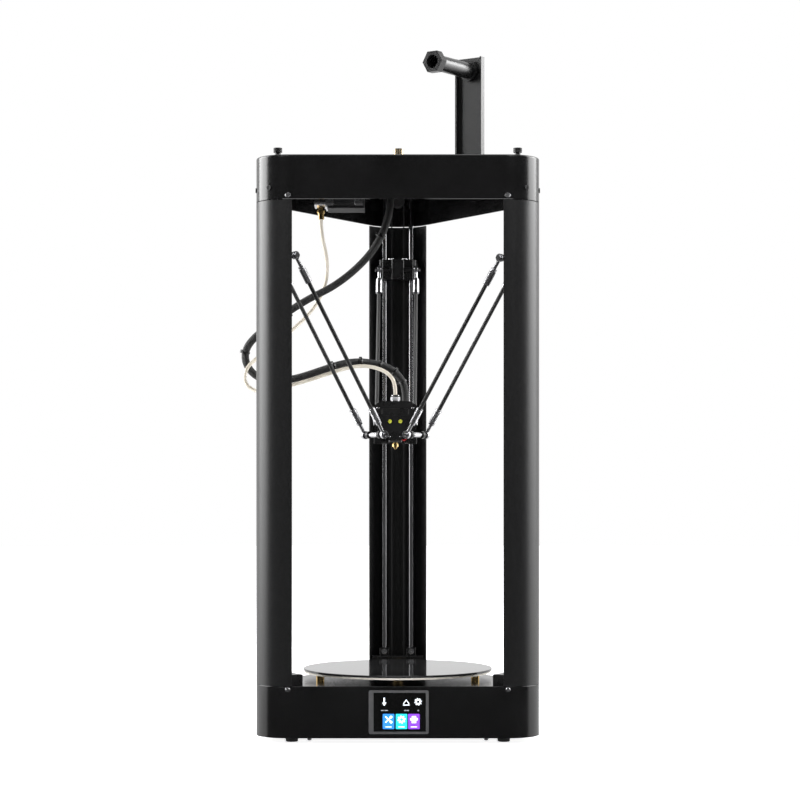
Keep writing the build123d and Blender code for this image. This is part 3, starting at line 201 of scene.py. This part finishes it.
def woven(name, dark, light, pitch):
    """A braided sleeve: two sets of crossed strands in the surface and the colour."""
    n = Nodes(name)
    waves = []
    for lean in (35, -35):
        turn = n.add("ShaderNodeMapping", Rotation=(radians(lean), radians(lean), 0))
        n.link(n.place, turn.inputs["Vector"])
        wave = n.add("ShaderNodeTexWave", Scale=pitch, Distortion=0.6)
        wave.inputs["Detail Scale"].default_value = 2.0
        n.link(turn.outputs["Vector"], wave.inputs["Vector"])
        waves.append(wave.outputs["Fac"])
    both = n.add("ShaderNodeMath", operation="MULTIPLY")
    n.link(waves[0], both.inputs[0])
    n.link(waves[1], both.inputs[1])
    n.link(n.ramp(both.outputs[0], dark, light, 0.1, 0.8), n.shader.inputs["Base Color"])
    n.shader.inputs["Roughness"].default_value = 0.48
    n.bump(both.outputs[0], 0.0004)
    return n


MATERIALS["cable_sleeve"] = woven("cable_sleeve", grey(0.003), grey(0.012), 700)
MATERIALS["carbon_tube"] = woven("carbon_tube", grey(0.003), grey(0.009), 420)
MATERIALS["carbon_tube"].shader.inputs["Roughness"].default_value = 0.3
MATERIALS["belt_rubber"] = surface("belt_rubber", grey(0.008), grey(0.014), (0.55, 0.7), 200, 800, 0.0001)


def glow(name, colour, strength):
    """A lit part of the display, a little uneven."""
    n = Nodes(name)
    shade = n.noise(220)
    dim = tuple(c * 0.85 for c in colour)
    n.link(n.ramp(shade, dim, colour), n.shader.inputs["Emission Color"])
    n.shader.inputs["Emission Strength"].default_value = strength
    n.link(n.ramp(shade, dim, colour), n.shader.inputs["Base Color"])
    n.shader.inputs["Roughness"].default_value = 0.3
    return n


GLOWS = {
    "tile_blue": glow("tile_blue", (0.02, 0.22, 0.75), 0.9),
    "tile_cyan": glow("tile_cyan", (0.01, 0.55, 0.62), 0.9),
    "tile_purple": glow("tile_purple", (0.22, 0.05, 0.62), 0.9),
    "icon_white": glow("icon_white", (0.8, 0.85, 0.9), 1.1),
    "icon_grey": glow("icon_grey", (0.3, 0.32, 0.35), 0.5),
}
for glow_name, made in GLOWS.items():
    MATERIALS[glow_name] = made

# =====================================================================================
# Materials of the CAD nodes
# =====================================================================================
SLOTS = {s["node"]: s["material_slot"] for s in frame["record"]["subparts"]}
for node_name, node in NODES.items():
    node.data.materials.clear()
    node.data.materials.append(MATERIALS[SLOTS[node_name]].material)

# =====================================================================================
# Mesh helpers
# =====================================================================================


def radial(angle):
    return Vector((cos(radians(angle)), sin(radians(angle)), 0))


def tangent(angle):
    return Vector((-sin(radians(angle)), cos(radians(angle)), 0))


def place(angle, out, side, z):
    """A point of a tower's frame, given in millimetres."""
    return (radial(angle) * out + tangent(angle) * side + Vector((0, 0, z))) * MM


def basis(origin, x, z):
    """The matrix of a frame at origin with those x and z directions."""
    x, z = Vector(x).normalized(), Vector(z).normalized()
    y = z.cross(x)
    return Matrix.Translation(origin) @ Matrix((x, y, z)).transposed().to_4x4()


def finish_piece(name, mesh, body, material, slot, smooth=True):
    """Links a mesh as a piece that rides on a body."""
    if smooth:
        for polygon in mesh.polygons:
            polygon.use_smooth = True
    mesh.materials.append(MATERIALS[material].material)
    piece = bpy.data.objects.new(name, mesh)
    SCENE.collection.objects.link(piece)
    if smooth:
        edges = piece.modifiers.new("edges", "EDGE_SPLIT")
        edges.split_angle = radians(35)
    if body:
        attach(piece, body)
    return piece


def lathe(bm, matrix, profile, sides=32):
    """Adds a closed turned solid to a bmesh: profile is its (radius, height) points, end to end."""
    rings = []
    for radius, height in profile:
        ring = []
        for k in range(sides):
            a = 2 * pi * k / sides
            at = matrix @ Vector((radius * cos(a), radius * sin(a), height))
            ring.append(bm.verts.new(at))
        rings.append(ring)
    for low, high in zip(rings, rings[1:]):
        for k in range(sides):
            bm.faces.new((low[k], low[(k + 1) % sides], high[(k + 1) % sides], high[k]))
    bm.faces.new(list(reversed(rings[0])))
    bm.faces.new(rings[-1])


def slab(bm, matrix, points, depth, edge=0.0):
    """Adds a flat plate to a bmesh: an outline in x and y, extruded along z, its front edge bevelled."""
    middle = sum((Vector((x, y, 0)) for x, y in points), Vector()) / len(points)
    levels = [(0.0, 0.0), (depth - edge, 0.0)] + ([(depth, edge)] if edge else [])
    rings = []
    for height, inset in levels:
        ring = []
        for x, y in points:
            p = Vector((x, y, 0))
            inward = (middle - p).normalized() * inset
            ring.append(bm.verts.new(matrix @ (p + inward + Vector((0, 0, height)))))
        rings.append(ring)
    count = len(points)
    for low, high in zip(rings, rings[1:]):
        for k in range(count):
            bm.faces.new((low[k], low[(k + 1) % count], high[(k + 1) % count], high[k]))
    bm.faces.new(list(reversed(rings[0])))
    bm.faces.new(rings[-1])


def rounded(width, height, radius, x=0.0, y=0.0, steps=5):
    """The outline of a rectangle with round corners."""
    points = []
    for cx, cy, start in ((1, 1, 0), (-1, 1, 90), (-1, -1, 180), (1, -1, 270)):
        for k in range(steps + 1):
            a = radians(start + 90 * k / steps)
            px = x + cx * (width / 2 - radius) + radius * cos(a)
            py = y + cy * (height / 2 - radius) + radius * sin(a)
            points.append((px, py))
    return points


def piece_from(name, build, body, material, slot, smooth=True):
    """A piece whose mesh is filled in by build(bm)."""
    bm = bmesh.new()
    build(bm)
    bmesh.ops.recalc_face_normals(bm, faces=bm.faces)
    mesh = bpy.data.meshes.new(name)
    bm.to_mesh(mesh)
    bm.free()
    return finish_piece(name, mesh, body, material, slot, smooth)


# =====================================================================================
# Screen: three tiles and a row of small marks, all generic
# =====================================================================================
FRONT = Vector((0, -1, 0))
RIGHT = Vector((1, 0, 0))
UP = Vector((0, 0, 1))
GLASS_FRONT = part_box("screen_glass")[0][1]
PRINT_THICK = 0.00012
TILE_WIDTH, TILE_HEIGHT, TILE_CORNER, TILE_Z = 0.0118, 0.0156, 0.0008, -0.0467
TILES = {"tile_blue": -0.0095, "tile_cyan": 0.00385, "tile_purple": 0.0166}
ICON_Z, STRIP_Z, MARK_Z = -0.0447, -0.0523, -0.0354
ARROW_X, ROOF_X, WHEEL_X = -0.0139, 0.0087, 0.0209  # the three marks of the top row
ROW_Z = -0.0265
MARKS = ((-0.0158, 0.0028), (-0.0119, 0.0034), (0.0076, 0.0022), (0.0103, 0.0024), (WHEEL_X, 0.0016))


def bar(bm, matrix, x, y, length, width, lean=0.0, depth=PRINT_THICK):
    """Adds a thin strip, centred at x and y and leaning by an angle."""
    turn = Matrix.Rotation(radians(lean), 4, "Z")
    slab(bm, matrix @ Matrix.Translation((x, y, 0)) @ turn, rounded(length, width, width / 4), depth)


def toothed_ring(bm, matrix, x, y, radius, teeth=8):
    """Adds a thin wheel with teeth and a hole in its middle."""
    inner, outer, hole = radius * 0.76, radius, radius * 0.36
    count = 4 * teeth
    for k in range(count):
        ring = []
        for step in (k, k + 1):
            a = 2 * pi * step / count
            edge = outer if k % 4 < 2 else inner
            ring.append([(x + r * cos(a), y + r * sin(a)) for r in (hole, edge)])
        (in_a, out_a), (in_b, out_b) = ring
        slab(bm, matrix, [in_a, out_a, out_b, in_b], PRINT_THICK)


tile_face = basis(Vector((0, GLASS_FRONT, 0)), RIGHT, FRONT)
icon_face = basis(Vector((0, GLASS_FRONT - PRINT_THICK, 0)), RIGHT, FRONT)
for tile, tile_x in TILES.items():
    tile_outline = rounded(TILE_WIDTH, TILE_HEIGHT, TILE_CORNER, tile_x, TILE_Z)

    def build_tile(bm, points=tile_outline):
        slab(bm, tile_face, points, PRINT_THICK)

    piece_from("screen_" + tile, build_tile, "frame", tile, "screen", smooth=False)


def build_icons(bm):
    """Adds the white shapes on the tiles and above them."""
    # crossed tools
    x = TILES["tile_blue"]
    for lean in (45, -45):
        bar(bm, icon_face, x, ICON_Z, 0.0090, 0.0013, lean)
        turned = radians(lean)
        head_x, head_z = x + 0.0036 * cos(turned), ICON_Z + 0.0036 * sin(turned)
        bar(bm, icon_face, head_x, head_z, 0.0026, 0.0025, lean)
    # toothed wheel
    toothed_ring(bm, icon_face, TILES["tile_cyan"], ICON_Z, 0.0042)
    # box with a sheet under it
    x = TILES["tile_purple"]
    bar(bm, icon_face, x, ICON_Z + 0.0027, 0.0046, 0.0018)
    bar(bm, icon_face, x, ICON_Z + 0.0003, 0.0078, 0.0026)
    bar(bm, icon_face, x, ICON_Z - 0.0026, 0.0048, 0.0022)
    # a strip near the bottom of each tile
    for x in TILES.values():
        bar(bm, icon_face, x, STRIP_Z, 0.0066, 0.0009)
    # top row: an arrow, two slanted strokes over a bar, a small wheel
    bar(bm, tile_face, ARROW_X, -0.0250, 0.0014, 0.0052)
    slab(bm, tile_face, [(-0.0162, -0.0273), (ARROW_X, -0.0308), (-0.0116, -0.0273)], PRINT_THICK)
    for x, lean in ((0.0074, 52), (0.0101, -52)):
        bar(bm, tile_face, x, ROW_Z, 0.0052, 0.0009, lean)
    bar(bm, tile_face, ROOF_X, -0.0298, 0.0068, 0.0009)
    toothed_ring(bm, tile_face, WHEEL_X, ROW_Z, 0.0038)


def build_marks(bm):
    """Adds the grey strips under the top row."""
    for x, length in MARKS:
        bar(bm, tile_face, x, MARK_Z, length, 0.0010)


piece_from("screen_icons", build_icons, "frame", "icon_white", "screen", smooth=False)
piece_from("screen_marks", build_marks, "frame", "icon_grey", "screen", smooth=False)

# =====================================================================================
# Small hardware
# =====================================================================================


def screw(bm, at, normal, radius, height):
    """Adds a cap screw's head that stands at a point: a rim with a chamfer and a sunk middle."""
    normal = Vector(normal)
    profile = [(radius, -height * 0.1), (radius, height * 0.75), (radius * 0.86, height)]
    profile += [(radius * 0.5, height), (radius * 0.5, height * 0.45)]
    lathe(bm, basis(Vector(at), normal.orthogonal(), normal), profile, 24)


COVER_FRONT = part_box("head_cover")[0][1]
HEAD_X = -0.0026
SINK = 0.0001  # pieces on the cover start this far inside it


def build_cover_relief(bm):
    """Adds a plain raised panel with slanted ribs at its sides and a bar below."""
    face = basis(Vector((0, COVER_FRONT + SINK, 0)), RIGHT, FRONT)
    slab(bm, face, rounded(0.0290, 0.0072, 0.0016, HEAD_X, 0.2735), 0.0006, 0.0004)
    for side in (-1, 1):
        for step in range(3):
            x = HEAD_X + side * (0.0105 - 0.0022 * step)
            bar(bm, face, x, 0.2660 - 0.0030 * step, 0.0046, 0.0008, side * 55, 0.0005)
    bar(bm, face, HEAD_X, 0.2500, 0.0100, 0.0008, 0, 0.0005)


def build_dots(bm):
    """Adds two plain round dots."""
    for x in (-0.0083, 0.0028):
        at = Vector((x, COVER_FRONT + SINK, 0.2634))
        lathe(bm, basis(at, RIGHT, FRONT), [(0.0021, 0), (0.0021, 0.0003), (0.0019, 0.0004)], 32)


def build_cover_screws(bm):
    for side in (-1, 1):
        screw(bm, (HEAD_X + side * 0.0185, COVER_FRONT, 0.2775), FRONT, 0.0014, 0.0007)
        screw(bm, (HEAD_X + side * 0.0055, COVER_FRONT, 0.2470), FRONT, 0.0010, 0.0005)


piece_from("cover_relief", build_cover_relief, "print_head", "black_plastic", "black_plastic")
piece_from("cover_dots", build_dots, "print_head", "yellow_dot", "black_plastic")
piece_from("cover_screws", build_cover_screws, "print_head", "bright_steel", "bright_steel")

FITTING_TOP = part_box("head_fittings")[1][2]
TUBE_AT = Vector((HEAD_X, 0.0079, 0))


def build_fitting_collar(bm):
    """Adds the push fitting's body, round the end of the filament tube."""
    top = FITTING_TOP
    profile = [(0.0042, top - 0.0058), (0.0052, top - 0.0055)]
    profile += [(0.0052, top - 0.0022), (0.0046, top - 0.0018)]
    lathe(bm, basis(TUBE_AT, RIGHT, UP), profile)


def build_fitting_ring(bm):
    """Adds the push fitting's release ring."""
    top = FITTING_TOP
    profile = [(0.0030, top - 0.0019), (0.0045, top - 0.0018), (0.0045, top - 0.0006)]
    profile += [(0.0038, top + 0.0002), (0.0026, top + 0.0002)]
    lathe(bm, basis(TUBE_AT, RIGHT, UP), profile)


piece_from("fitting_collar", build_fitting_collar, "print_head", "white_plastic", "black_plastic")
piece_from("fitting_ring", build_fitting_ring, "print_head", "black_plastic", "black_plastic")

# knurled bands on the ferrules, around each arm's ends
HEAD_AT = Vector((-2.6, 7.9, 249.2)) * MM
ARM_LENGTH, ARM_SIDE = 0.215, 20.8
HEAD_JOINT_OUT, CARRIAGE_JOINT_OUT = 25.7, 134.3
BANDS = [0.0172 + 0.0016 * k for k in range(9)]


def arm_ends():
    """For every arm, the centre of each ball and the direction from it along the arm."""
    for angle in TOWERS.values():
        for side in (-ARM_SIDE, ARM_SIDE):
            low = place(angle, HEAD_JOINT_OUT, side, 0) + HEAD_AT
            high = place(angle, CARRIAGE_JOINT_OUT, side, 0)
            reach = (high - low).xy.length
            high.z = HEAD_AT.z + (ARM_LENGTH**2 - reach**2) ** 0.5
            along = (high - low).normalized()
            yield low, along
            yield high, -along


def build_bands(bm):
    """Adds the ribs of the ferrules."""
    for centre, along in arm_ends():
        for distance in BANDS:
            ring = [(0.0033, -0.00062), (0.0037, -0.0003), (0.0037, 0.0003), (0.0033, 0.00062)]
            lathe(bm, basis(centre + along * distance, along.orthogonal(), along), ring, 20)


def build_collars(bm):
    """Adds the collars where the ferrules meet the arms' tubes."""
    for centre, along in arm_ends():
        ring = [(0.0032, -0.0005), (0.0036, -0.0002), (0.0036, 0.0004), (0.0022, 0.0010)]
        lathe(bm, basis(centre + along * 0.0314, along.orthogonal(), along), ring, 24)


piece_from("ferrule_bands", build_bands, "print_head", "bracket_steel", SLOTS["rod_ends"])
piece_from("ferrule_collars", build_collars, "print_head", "bracket_steel", SLOTS["rod_ends"])

# two pairs of screws on each carriage
for tower, tower_angle in TOWERS.items():
    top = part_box("carriage_" + tower)[1][2] / MM

    def build_screws(bm, angle=tower_angle, top=top):
        for side in (-9.4, -6.1, 6.1, 9.4):
            screw(bm, place(angle, 140.5, side, top), UP, 0.0013, 0.0015)

    carriage = "carriage_" + tower
    piece_from("carriage_screws_" + tower, build_screws, carriage, "bright_steel", "bright_steel")


def build_base_screws(bm):
    """Adds the screws of the bottom plate."""
    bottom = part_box("base_bottom_plate")[0][2]
    for x in (-0.091, 0.091):
        screw(bm, (x, -0.094, bottom), -UP, 0.0026, 0.0026)
    for angle in TOWERS.values():
        for side in (-22, 22):
            screw(bm, place(angle, 118, side, bottom / MM), -UP, 0.0024, 0.0012)


piece_from("bottom_screws", build_base_screws, "frame", "bright_steel", "bright_steel")


WIRE_STEPS = (
    ((0, 0, 0), (0.0038, 0.001, -0.0004)),
    ((0.0036, 0.001, -0.0004), (0.0056, 0.005, 0.0028)),
)


def build_heater_wires(bm):
    """Adds the short ends of two wires beside the heater block."""
    for offset in (0.0, 0.0022):
        start = Vector((0.0042, 0.0050 + offset, 0.2442))
        for a, b in WIRE_STEPS:
            a, b = start + Vector(a), start + Vector(b)
            along = (b - a).normalized()
            profile = [(0.0007, 0), (0.0008, 0.0002), (0.0008, (b - a).length)]
            lathe(bm, basis(a, along.orthogonal(), along), profile, 12)


piece_from("heater_wires", build_heater_wires, "print_head", "red_wire", "black_plastic")


def build_motor_bands(bm):
    """Cast end plates of the extruder's motor, a little proud of its stack."""
    near, far = Vector((-0.0770, 0, 0.5125)), Vector((-0.0370, 0, 0.5125))
    for at, along in ((near, RIGHT), (far, -RIGHT)):
        slab(bm, basis(at, Vector((0, 1, 0)), along), rounded(0.0427, 0.0427, 0.004), 0.0085, 0.0002)


piece_from("motor_end_plates", build_motor_bands, "frame", "aluminium", "aluminium")

# the guide on top is a paler metal than the fitting below, and the screws round the top are dark
TOP_FACE_Z, DARK_SCREW_Z = 0.5361, 0.498
fittings = NODES["filament_fittings"].data
fittings.materials.append(MATERIALS["pale_brass"].material)
for polygon in fittings.polygons:
    if (NODES["filament_fittings"].matrix_world @ polygon.center).z > TOP_FACE_Z:
        polygon.material_index = 1
screws = NODES["frame_screws"].data
screws.materials.append(MATERIALS["black_plastic"].material)
for polygon in screws.polygons:
    if (NODES["frame_screws"].matrix_world @ polygon.center).z > DARK_SCREW_Z:
        polygon.material_index = 1
# the bed plate's rim is paler than its faces
plate = NODES["bed_plate"].data
plate.materials.append(MATERIALS["plate_edge"].material)
for polygon in plate.polygons:
    if abs(polygon.normal.z) < 0.5:
        polygon.material_index = 1
# the extruder's bracket: faces towards the front and on top get bright steel as a painted highlight; its
# other faces get black, which is partly the bracket's dark colour and partly painted shade
bracket = NODES["extruder_bracket"].data
bracket.materials.append(MATERIALS["bracket_dark_and_shade"].material)
bracket.materials.append(MATERIALS["bracket_steel"].material)
for polygon in bracket.polygons:
    polygon.material_index = 2 if polygon.normal.y < -0.5 or polygon.normal.z > 0.5 else 1

# =====================================================================================
# Cords: the same routes as the CAD tubes
# =====================================================================================
HARNESS = [
    (-0.007, 0.040, 0.5346),
    (-0.007, 0.040, 0.505),
    (-0.0128, 0.039, 0.476),
    (-0.030, 0.034, 0.4444),
    (-0.0645, 0.026, 0.4128),
    (-0.1002, 0.017, 0.3948),
    (-0.133, 0.006, 0.371),
    (-0.156, -0.001, 0.352),
    (-0.164, -0.004, 0.338),
    (-0.162, -0.006, 0.3235),
    (-0.1525, -0.007, 0.312),
    (-0.137, -0.0055, 0.3065),
    (-0.112, -0.001, 0.3085),
    (-0.084, 0.0065, 0.318),
    (-0.062, 0.0125, 0.326),
    (-0.042, 0.0175, 0.329),
    (-0.0214, 0.021, 0.3265),
    (-0.0055, 0.0232, 0.3205),
    (0.005, 0.0242, 0.309),
    (0.0085, 0.0242, 0.297),
    (0.0085, 0.0242, 0.286),
]
PTFE = [
    (-0.0825, 0.0062, 0.4810),
    (-0.0825, 0.0062, 0.4660),
    (-0.0755, 0.0150, 0.4380),
    (-0.0780, 0.0330, 0.4120),
    (-0.0920, 0.0410, 0.3860),
    (-0.1180, 0.0260, 0.3600),
    (-0.1370, 0.0070, 0.3430),
    (-0.1520, -0.0100, 0.3300),
    (-0.1605, -0.0185, 0.3205),
    (-0.1635, -0.0225, 0.3090),
    (-0.1590, -0.0240, 0.2995),
    (-0.1480, -0.0220, 0.2943),
    (-0.1300, -0.0160, 0.2980),
    (-0.1080, -0.0090, 0.3035),
    (-0.0840, -0.0015, 0.3115),
    (-0.0600, 0.0040, 0.3200),
    (-0.0400, 0.0065, 0.3240),
    (-0.0240, 0.0076, 0.3220),
    (-0.0110, 0.0078, 0.3165),
    (-0.0026, 0.0079, 0.3060),
    (-0.0026, 0.0079, 0.2920),
]
HARNESS_DIAMETER = 0.008
TUBE_DIAMETER = 0.004


def route_curve(name, points, diameter):
    """A NURBS curve with those control points, as thick as the cord."""
    curve = bpy.data.curves.new(name, "CURVE")
    curve.dimensions = "3D"
    curve.resolution_u = 10
    curve.bevel_resolution = 5
    curve.bevel_depth = diameter / 2
    curve.use_fill_caps = True
    spline = curve.splines.new("NURBS")
    spline.points.add(len(points) - 1)
    for point, at in zip(spline.points, points):
        point.co = (*at, 1)
    spline.order_u = 3
    spline.use_endpoint_u = True
    return curve


def line_points(points):
    """Points along the route's smooth line, from its NURBS curve with no thickness."""
    thin = route_curve("line", points, 0)
    thin.use_fill_caps = False
    holder = bpy.data.objects.new("line", thin)
    SCENE.collection.objects.link(holder)
    bpy.context.view_layer.update()
    mesh = bpy.data.meshes.new_from_object(holder.evaluated_get(bpy.context.evaluated_depsgraph_get()))
    found = [v.co.copy() for v in mesh.vertices]
    bpy.data.objects.remove(holder)
    return found


def follow_head(piece):
    """Bakes the placement of a piece on the cords, from the top of the frame to the print head, into its
    mesh.
    """
    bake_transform(piece)


def cord_piece(name, points, diameter, node, material):
    """A cord from the top of the frame to the print head, in place of its CAD tube."""
    holder = bpy.data.objects.new(name + "_curve", route_curve(name, points, diameter))
    SCENE.collection.objects.link(holder)
    bpy.context.view_layer.update()
    mesh = bpy.data.meshes.new_from_object(holder.evaluated_get(bpy.context.evaluated_depsgraph_get()))
    bpy.data.objects.remove(holder)
    piece = finish_piece(name, mesh, None, material, material)
    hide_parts(node)
    line = line_points(points)
    follow_head(piece)
    sum((b - a).length for a, b in zip(line, line[1:]))
    return line


def ring_at(bm, line, share, radius, thick, width):
    """Adds a band round a cord, at a share of its line's length."""
    k = int(share * (len(line) - 2))
    along = (line[k + 1] - line[k]).normalized()
    side = along.orthogonal()
    profile = [
        (radius - thick, -width / 2),
        (radius, -width / 2),
        (radius + thick, -width / 4),
        (radius + thick, width / 4),
        (radius, width / 2),
        (radius - thick, width / 2),
    ]
    lathe(bm, basis(line[k], side, along), profile, 24)
    # the tie's locking head and its cut tail
    block = rounded(0.0032, 0.0030, 0.0006)
    slab(bm, basis(line[k] - along * 0.0015 + side * (radius - 0.0002), side, along), block, 0.003)


TIE_SHARES = (0.10, 0.27, 0.40, 0.595, 0.70, 0.775, 0.83, 0.885, 0.935)
harness_line = line_points(HARNESS)


def build_ties(bm):
    for share in TIE_SHARES:
        ring_at(bm, harness_line, share, HARNESS_DIAMETER / 2 + 0.0002, 0.0005, 0.0026)


ties = piece_from("cable_ties", build_ties, None, "black_plastic", "black_plastic")
follow_head(ties)
cord_piece("harness_sleeve", HARNESS, HARNESS_DIAMETER, "wire_harness", "cable_sleeve")
cord_piece("feed_tube", PTFE, TUBE_DIAMETER, "filament_tube", "ptfe")

# =====================================================================================
# Stage: floor, surroundings and lights
# =====================================================================================
FLOOR_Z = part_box("rubber_feet")[0][2]
bm = bmesh.new()
bmesh.ops.create_circle(bm, cap_ends=True, segments=96, radius=6.0)
floor_mesh = bpy.data.meshes.new("floor")
bm.to_mesh(floor_mesh)
bm.free()
floor = bpy.data.objects.new("floor", floor_mesh)
floor.location = (0, 0, FLOOR_Z)
floor_look = surface("floor", grey(0.80), grey(0.82), (0.9, 1.0), 3, Specular_IOR_Level=0.0)
floor_look.shader.inputs["Emission Color"].default_value = (1, 1, 1, 1)
floor_look.shader.inputs["Emission Strength"].default_value = 0.9
floor.visible_glossy = False
floor_mesh.materials.append(floor_look.material)
SCENE.collection.objects.link(floor)

world = bpy.data.worlds.new("studio")
SCENE.world = world
world.use_nodes = True
tree = world.node_tree
background = tree.nodes["Background"]
background.inputs["Color"].default_value = (1, 1, 1, 1)
direction = tree.nodes.new("ShaderNodeTexCoord")
split = tree.nodes.new("ShaderNodeSeparateXYZ")
fade = tree.nodes.new("ShaderNodeMapRange")
fade.interpolation_type = "SMOOTHSTEP"
for key, value in (("From Min", -0.2), ("From Max", 0.3), ("To Min", 0.08), ("To Max", 1.0)):
    fade.inputs[key].default_value = value
seen = tree.nodes.new("ShaderNodeLightPath")
choose = tree.nodes.new("ShaderNodeMix")
choose.inputs["B"].default_value = 1.0
tree.links.new(direction.outputs["Generated"], split.inputs["Vector"])
tree.links.new(split.outputs["Y"], fade.inputs["Value"])
tree.links.new(fade.outputs["Result"], choose.inputs["A"])
tree.links.new(seen.outputs["Is Camera Ray"], choose.inputs["Factor"])
tree.links.new(choose.outputs["Result"], background.inputs["Strength"])
SCENE.view_settings.view_transform = "Standard"


def light_panel(name, x, levels):
    """An upright glowing panel beside the printer; levels are (height, brightness) pairs."""
    bm = bmesh.new()
    bottom, top = levels[0][0], levels[-1][0]
    front, back = -0.24, 0.95
    corners = [(x, front, bottom), (x, back, bottom), (x, back, top), (x, front, top)]
    bm.faces.new([bm.verts.new(corner) for corner in corners])
    mesh = bpy.data.meshes.new(name)
    bm.to_mesh(mesh)
    bm.free()
    n = Nodes(name)
    height = n.add("ShaderNodeSeparateXYZ")
    n.link(n.place, height.inputs["Vector"])
    total = None
    for (low, dim), (high, bright) in zip(levels, levels[1:]):
        step = n.add("ShaderNodeMapRange")
        rise = bright if total is None else bright - dim
        base = dim if total is None else 0.0
        for key, value in (("From Min", low), ("From Max", high), ("To Min", base), ("To Max", rise)):
            step.inputs[key].default_value = value
        n.link(height.outputs["Z"], step.inputs["Value"])
        if total is None:
            total = step.outputs["Result"]
        else:
            both = n.add("ShaderNodeMath", operation="ADD")
            n.link(total, both.inputs[0])
            n.link(step.outputs["Result"], both.inputs[1])
            total = both.outputs[0]
    n.shader.inputs["Base Color"].default_value = (0, 0, 0, 1)
    n.shader.inputs["Specular IOR Level"].default_value = 0.0
    n.shader.inputs["Emission Color"].default_value = (1, 1, 1, 1)
    n.link(total, n.shader.inputs["Emission Strength"])
    mesh.materials.append(n.material)
    panel = bpy.data.objects.new(name, mesh)
    panel.visible_camera = False
    SCENE.collection.objects.link(panel)


def softbox(name, at, look_at, size, power):
    light = bpy.data.lights.new(name, "AREA")
    light.shape = "RECTANGLE"
    light.size, light.size_y = size
    light.energy = power
    holder = bpy.data.objects.new(name, light)
    holder.location = at
    holder.rotation_euler = (Vector(look_at) - Vector(at)).to_track_quat("-Z", "Y").to_euler()
    SCENE.collection.objects.link(holder)


LEFT_LEVELS = ((-0.6, 1.1), (-0.2, 1.2), (0.24, 4.2), (0.70, 8.2), (0.92, 13.0), (1.6, 13.0))
RIGHT_LEVELS = ((-0.6, 1.1), (-0.2, 1.2), (0.24, 3.0), (0.70, 6.0), (0.92, 12.0), (1.6, 12.0))
light_panel("left_panel", -1.5, LEFT_LEVELS)
light_panel("right_panel", 1.5, RIGHT_LEVELS)
softbox("top_box", (0, -0.3, 1.9), (0, 0, 0.2), (1.0, 1.0), 6)
softbox("front_left_box", (-1.1, -2.4, 1.9), (0, 0, 0.25), (1.0, 0.8), 17)
softbox("front_right_box", (1.1, -2.4, 1.9), (0, 0, 0.25), (1.0, 0.8), 17)
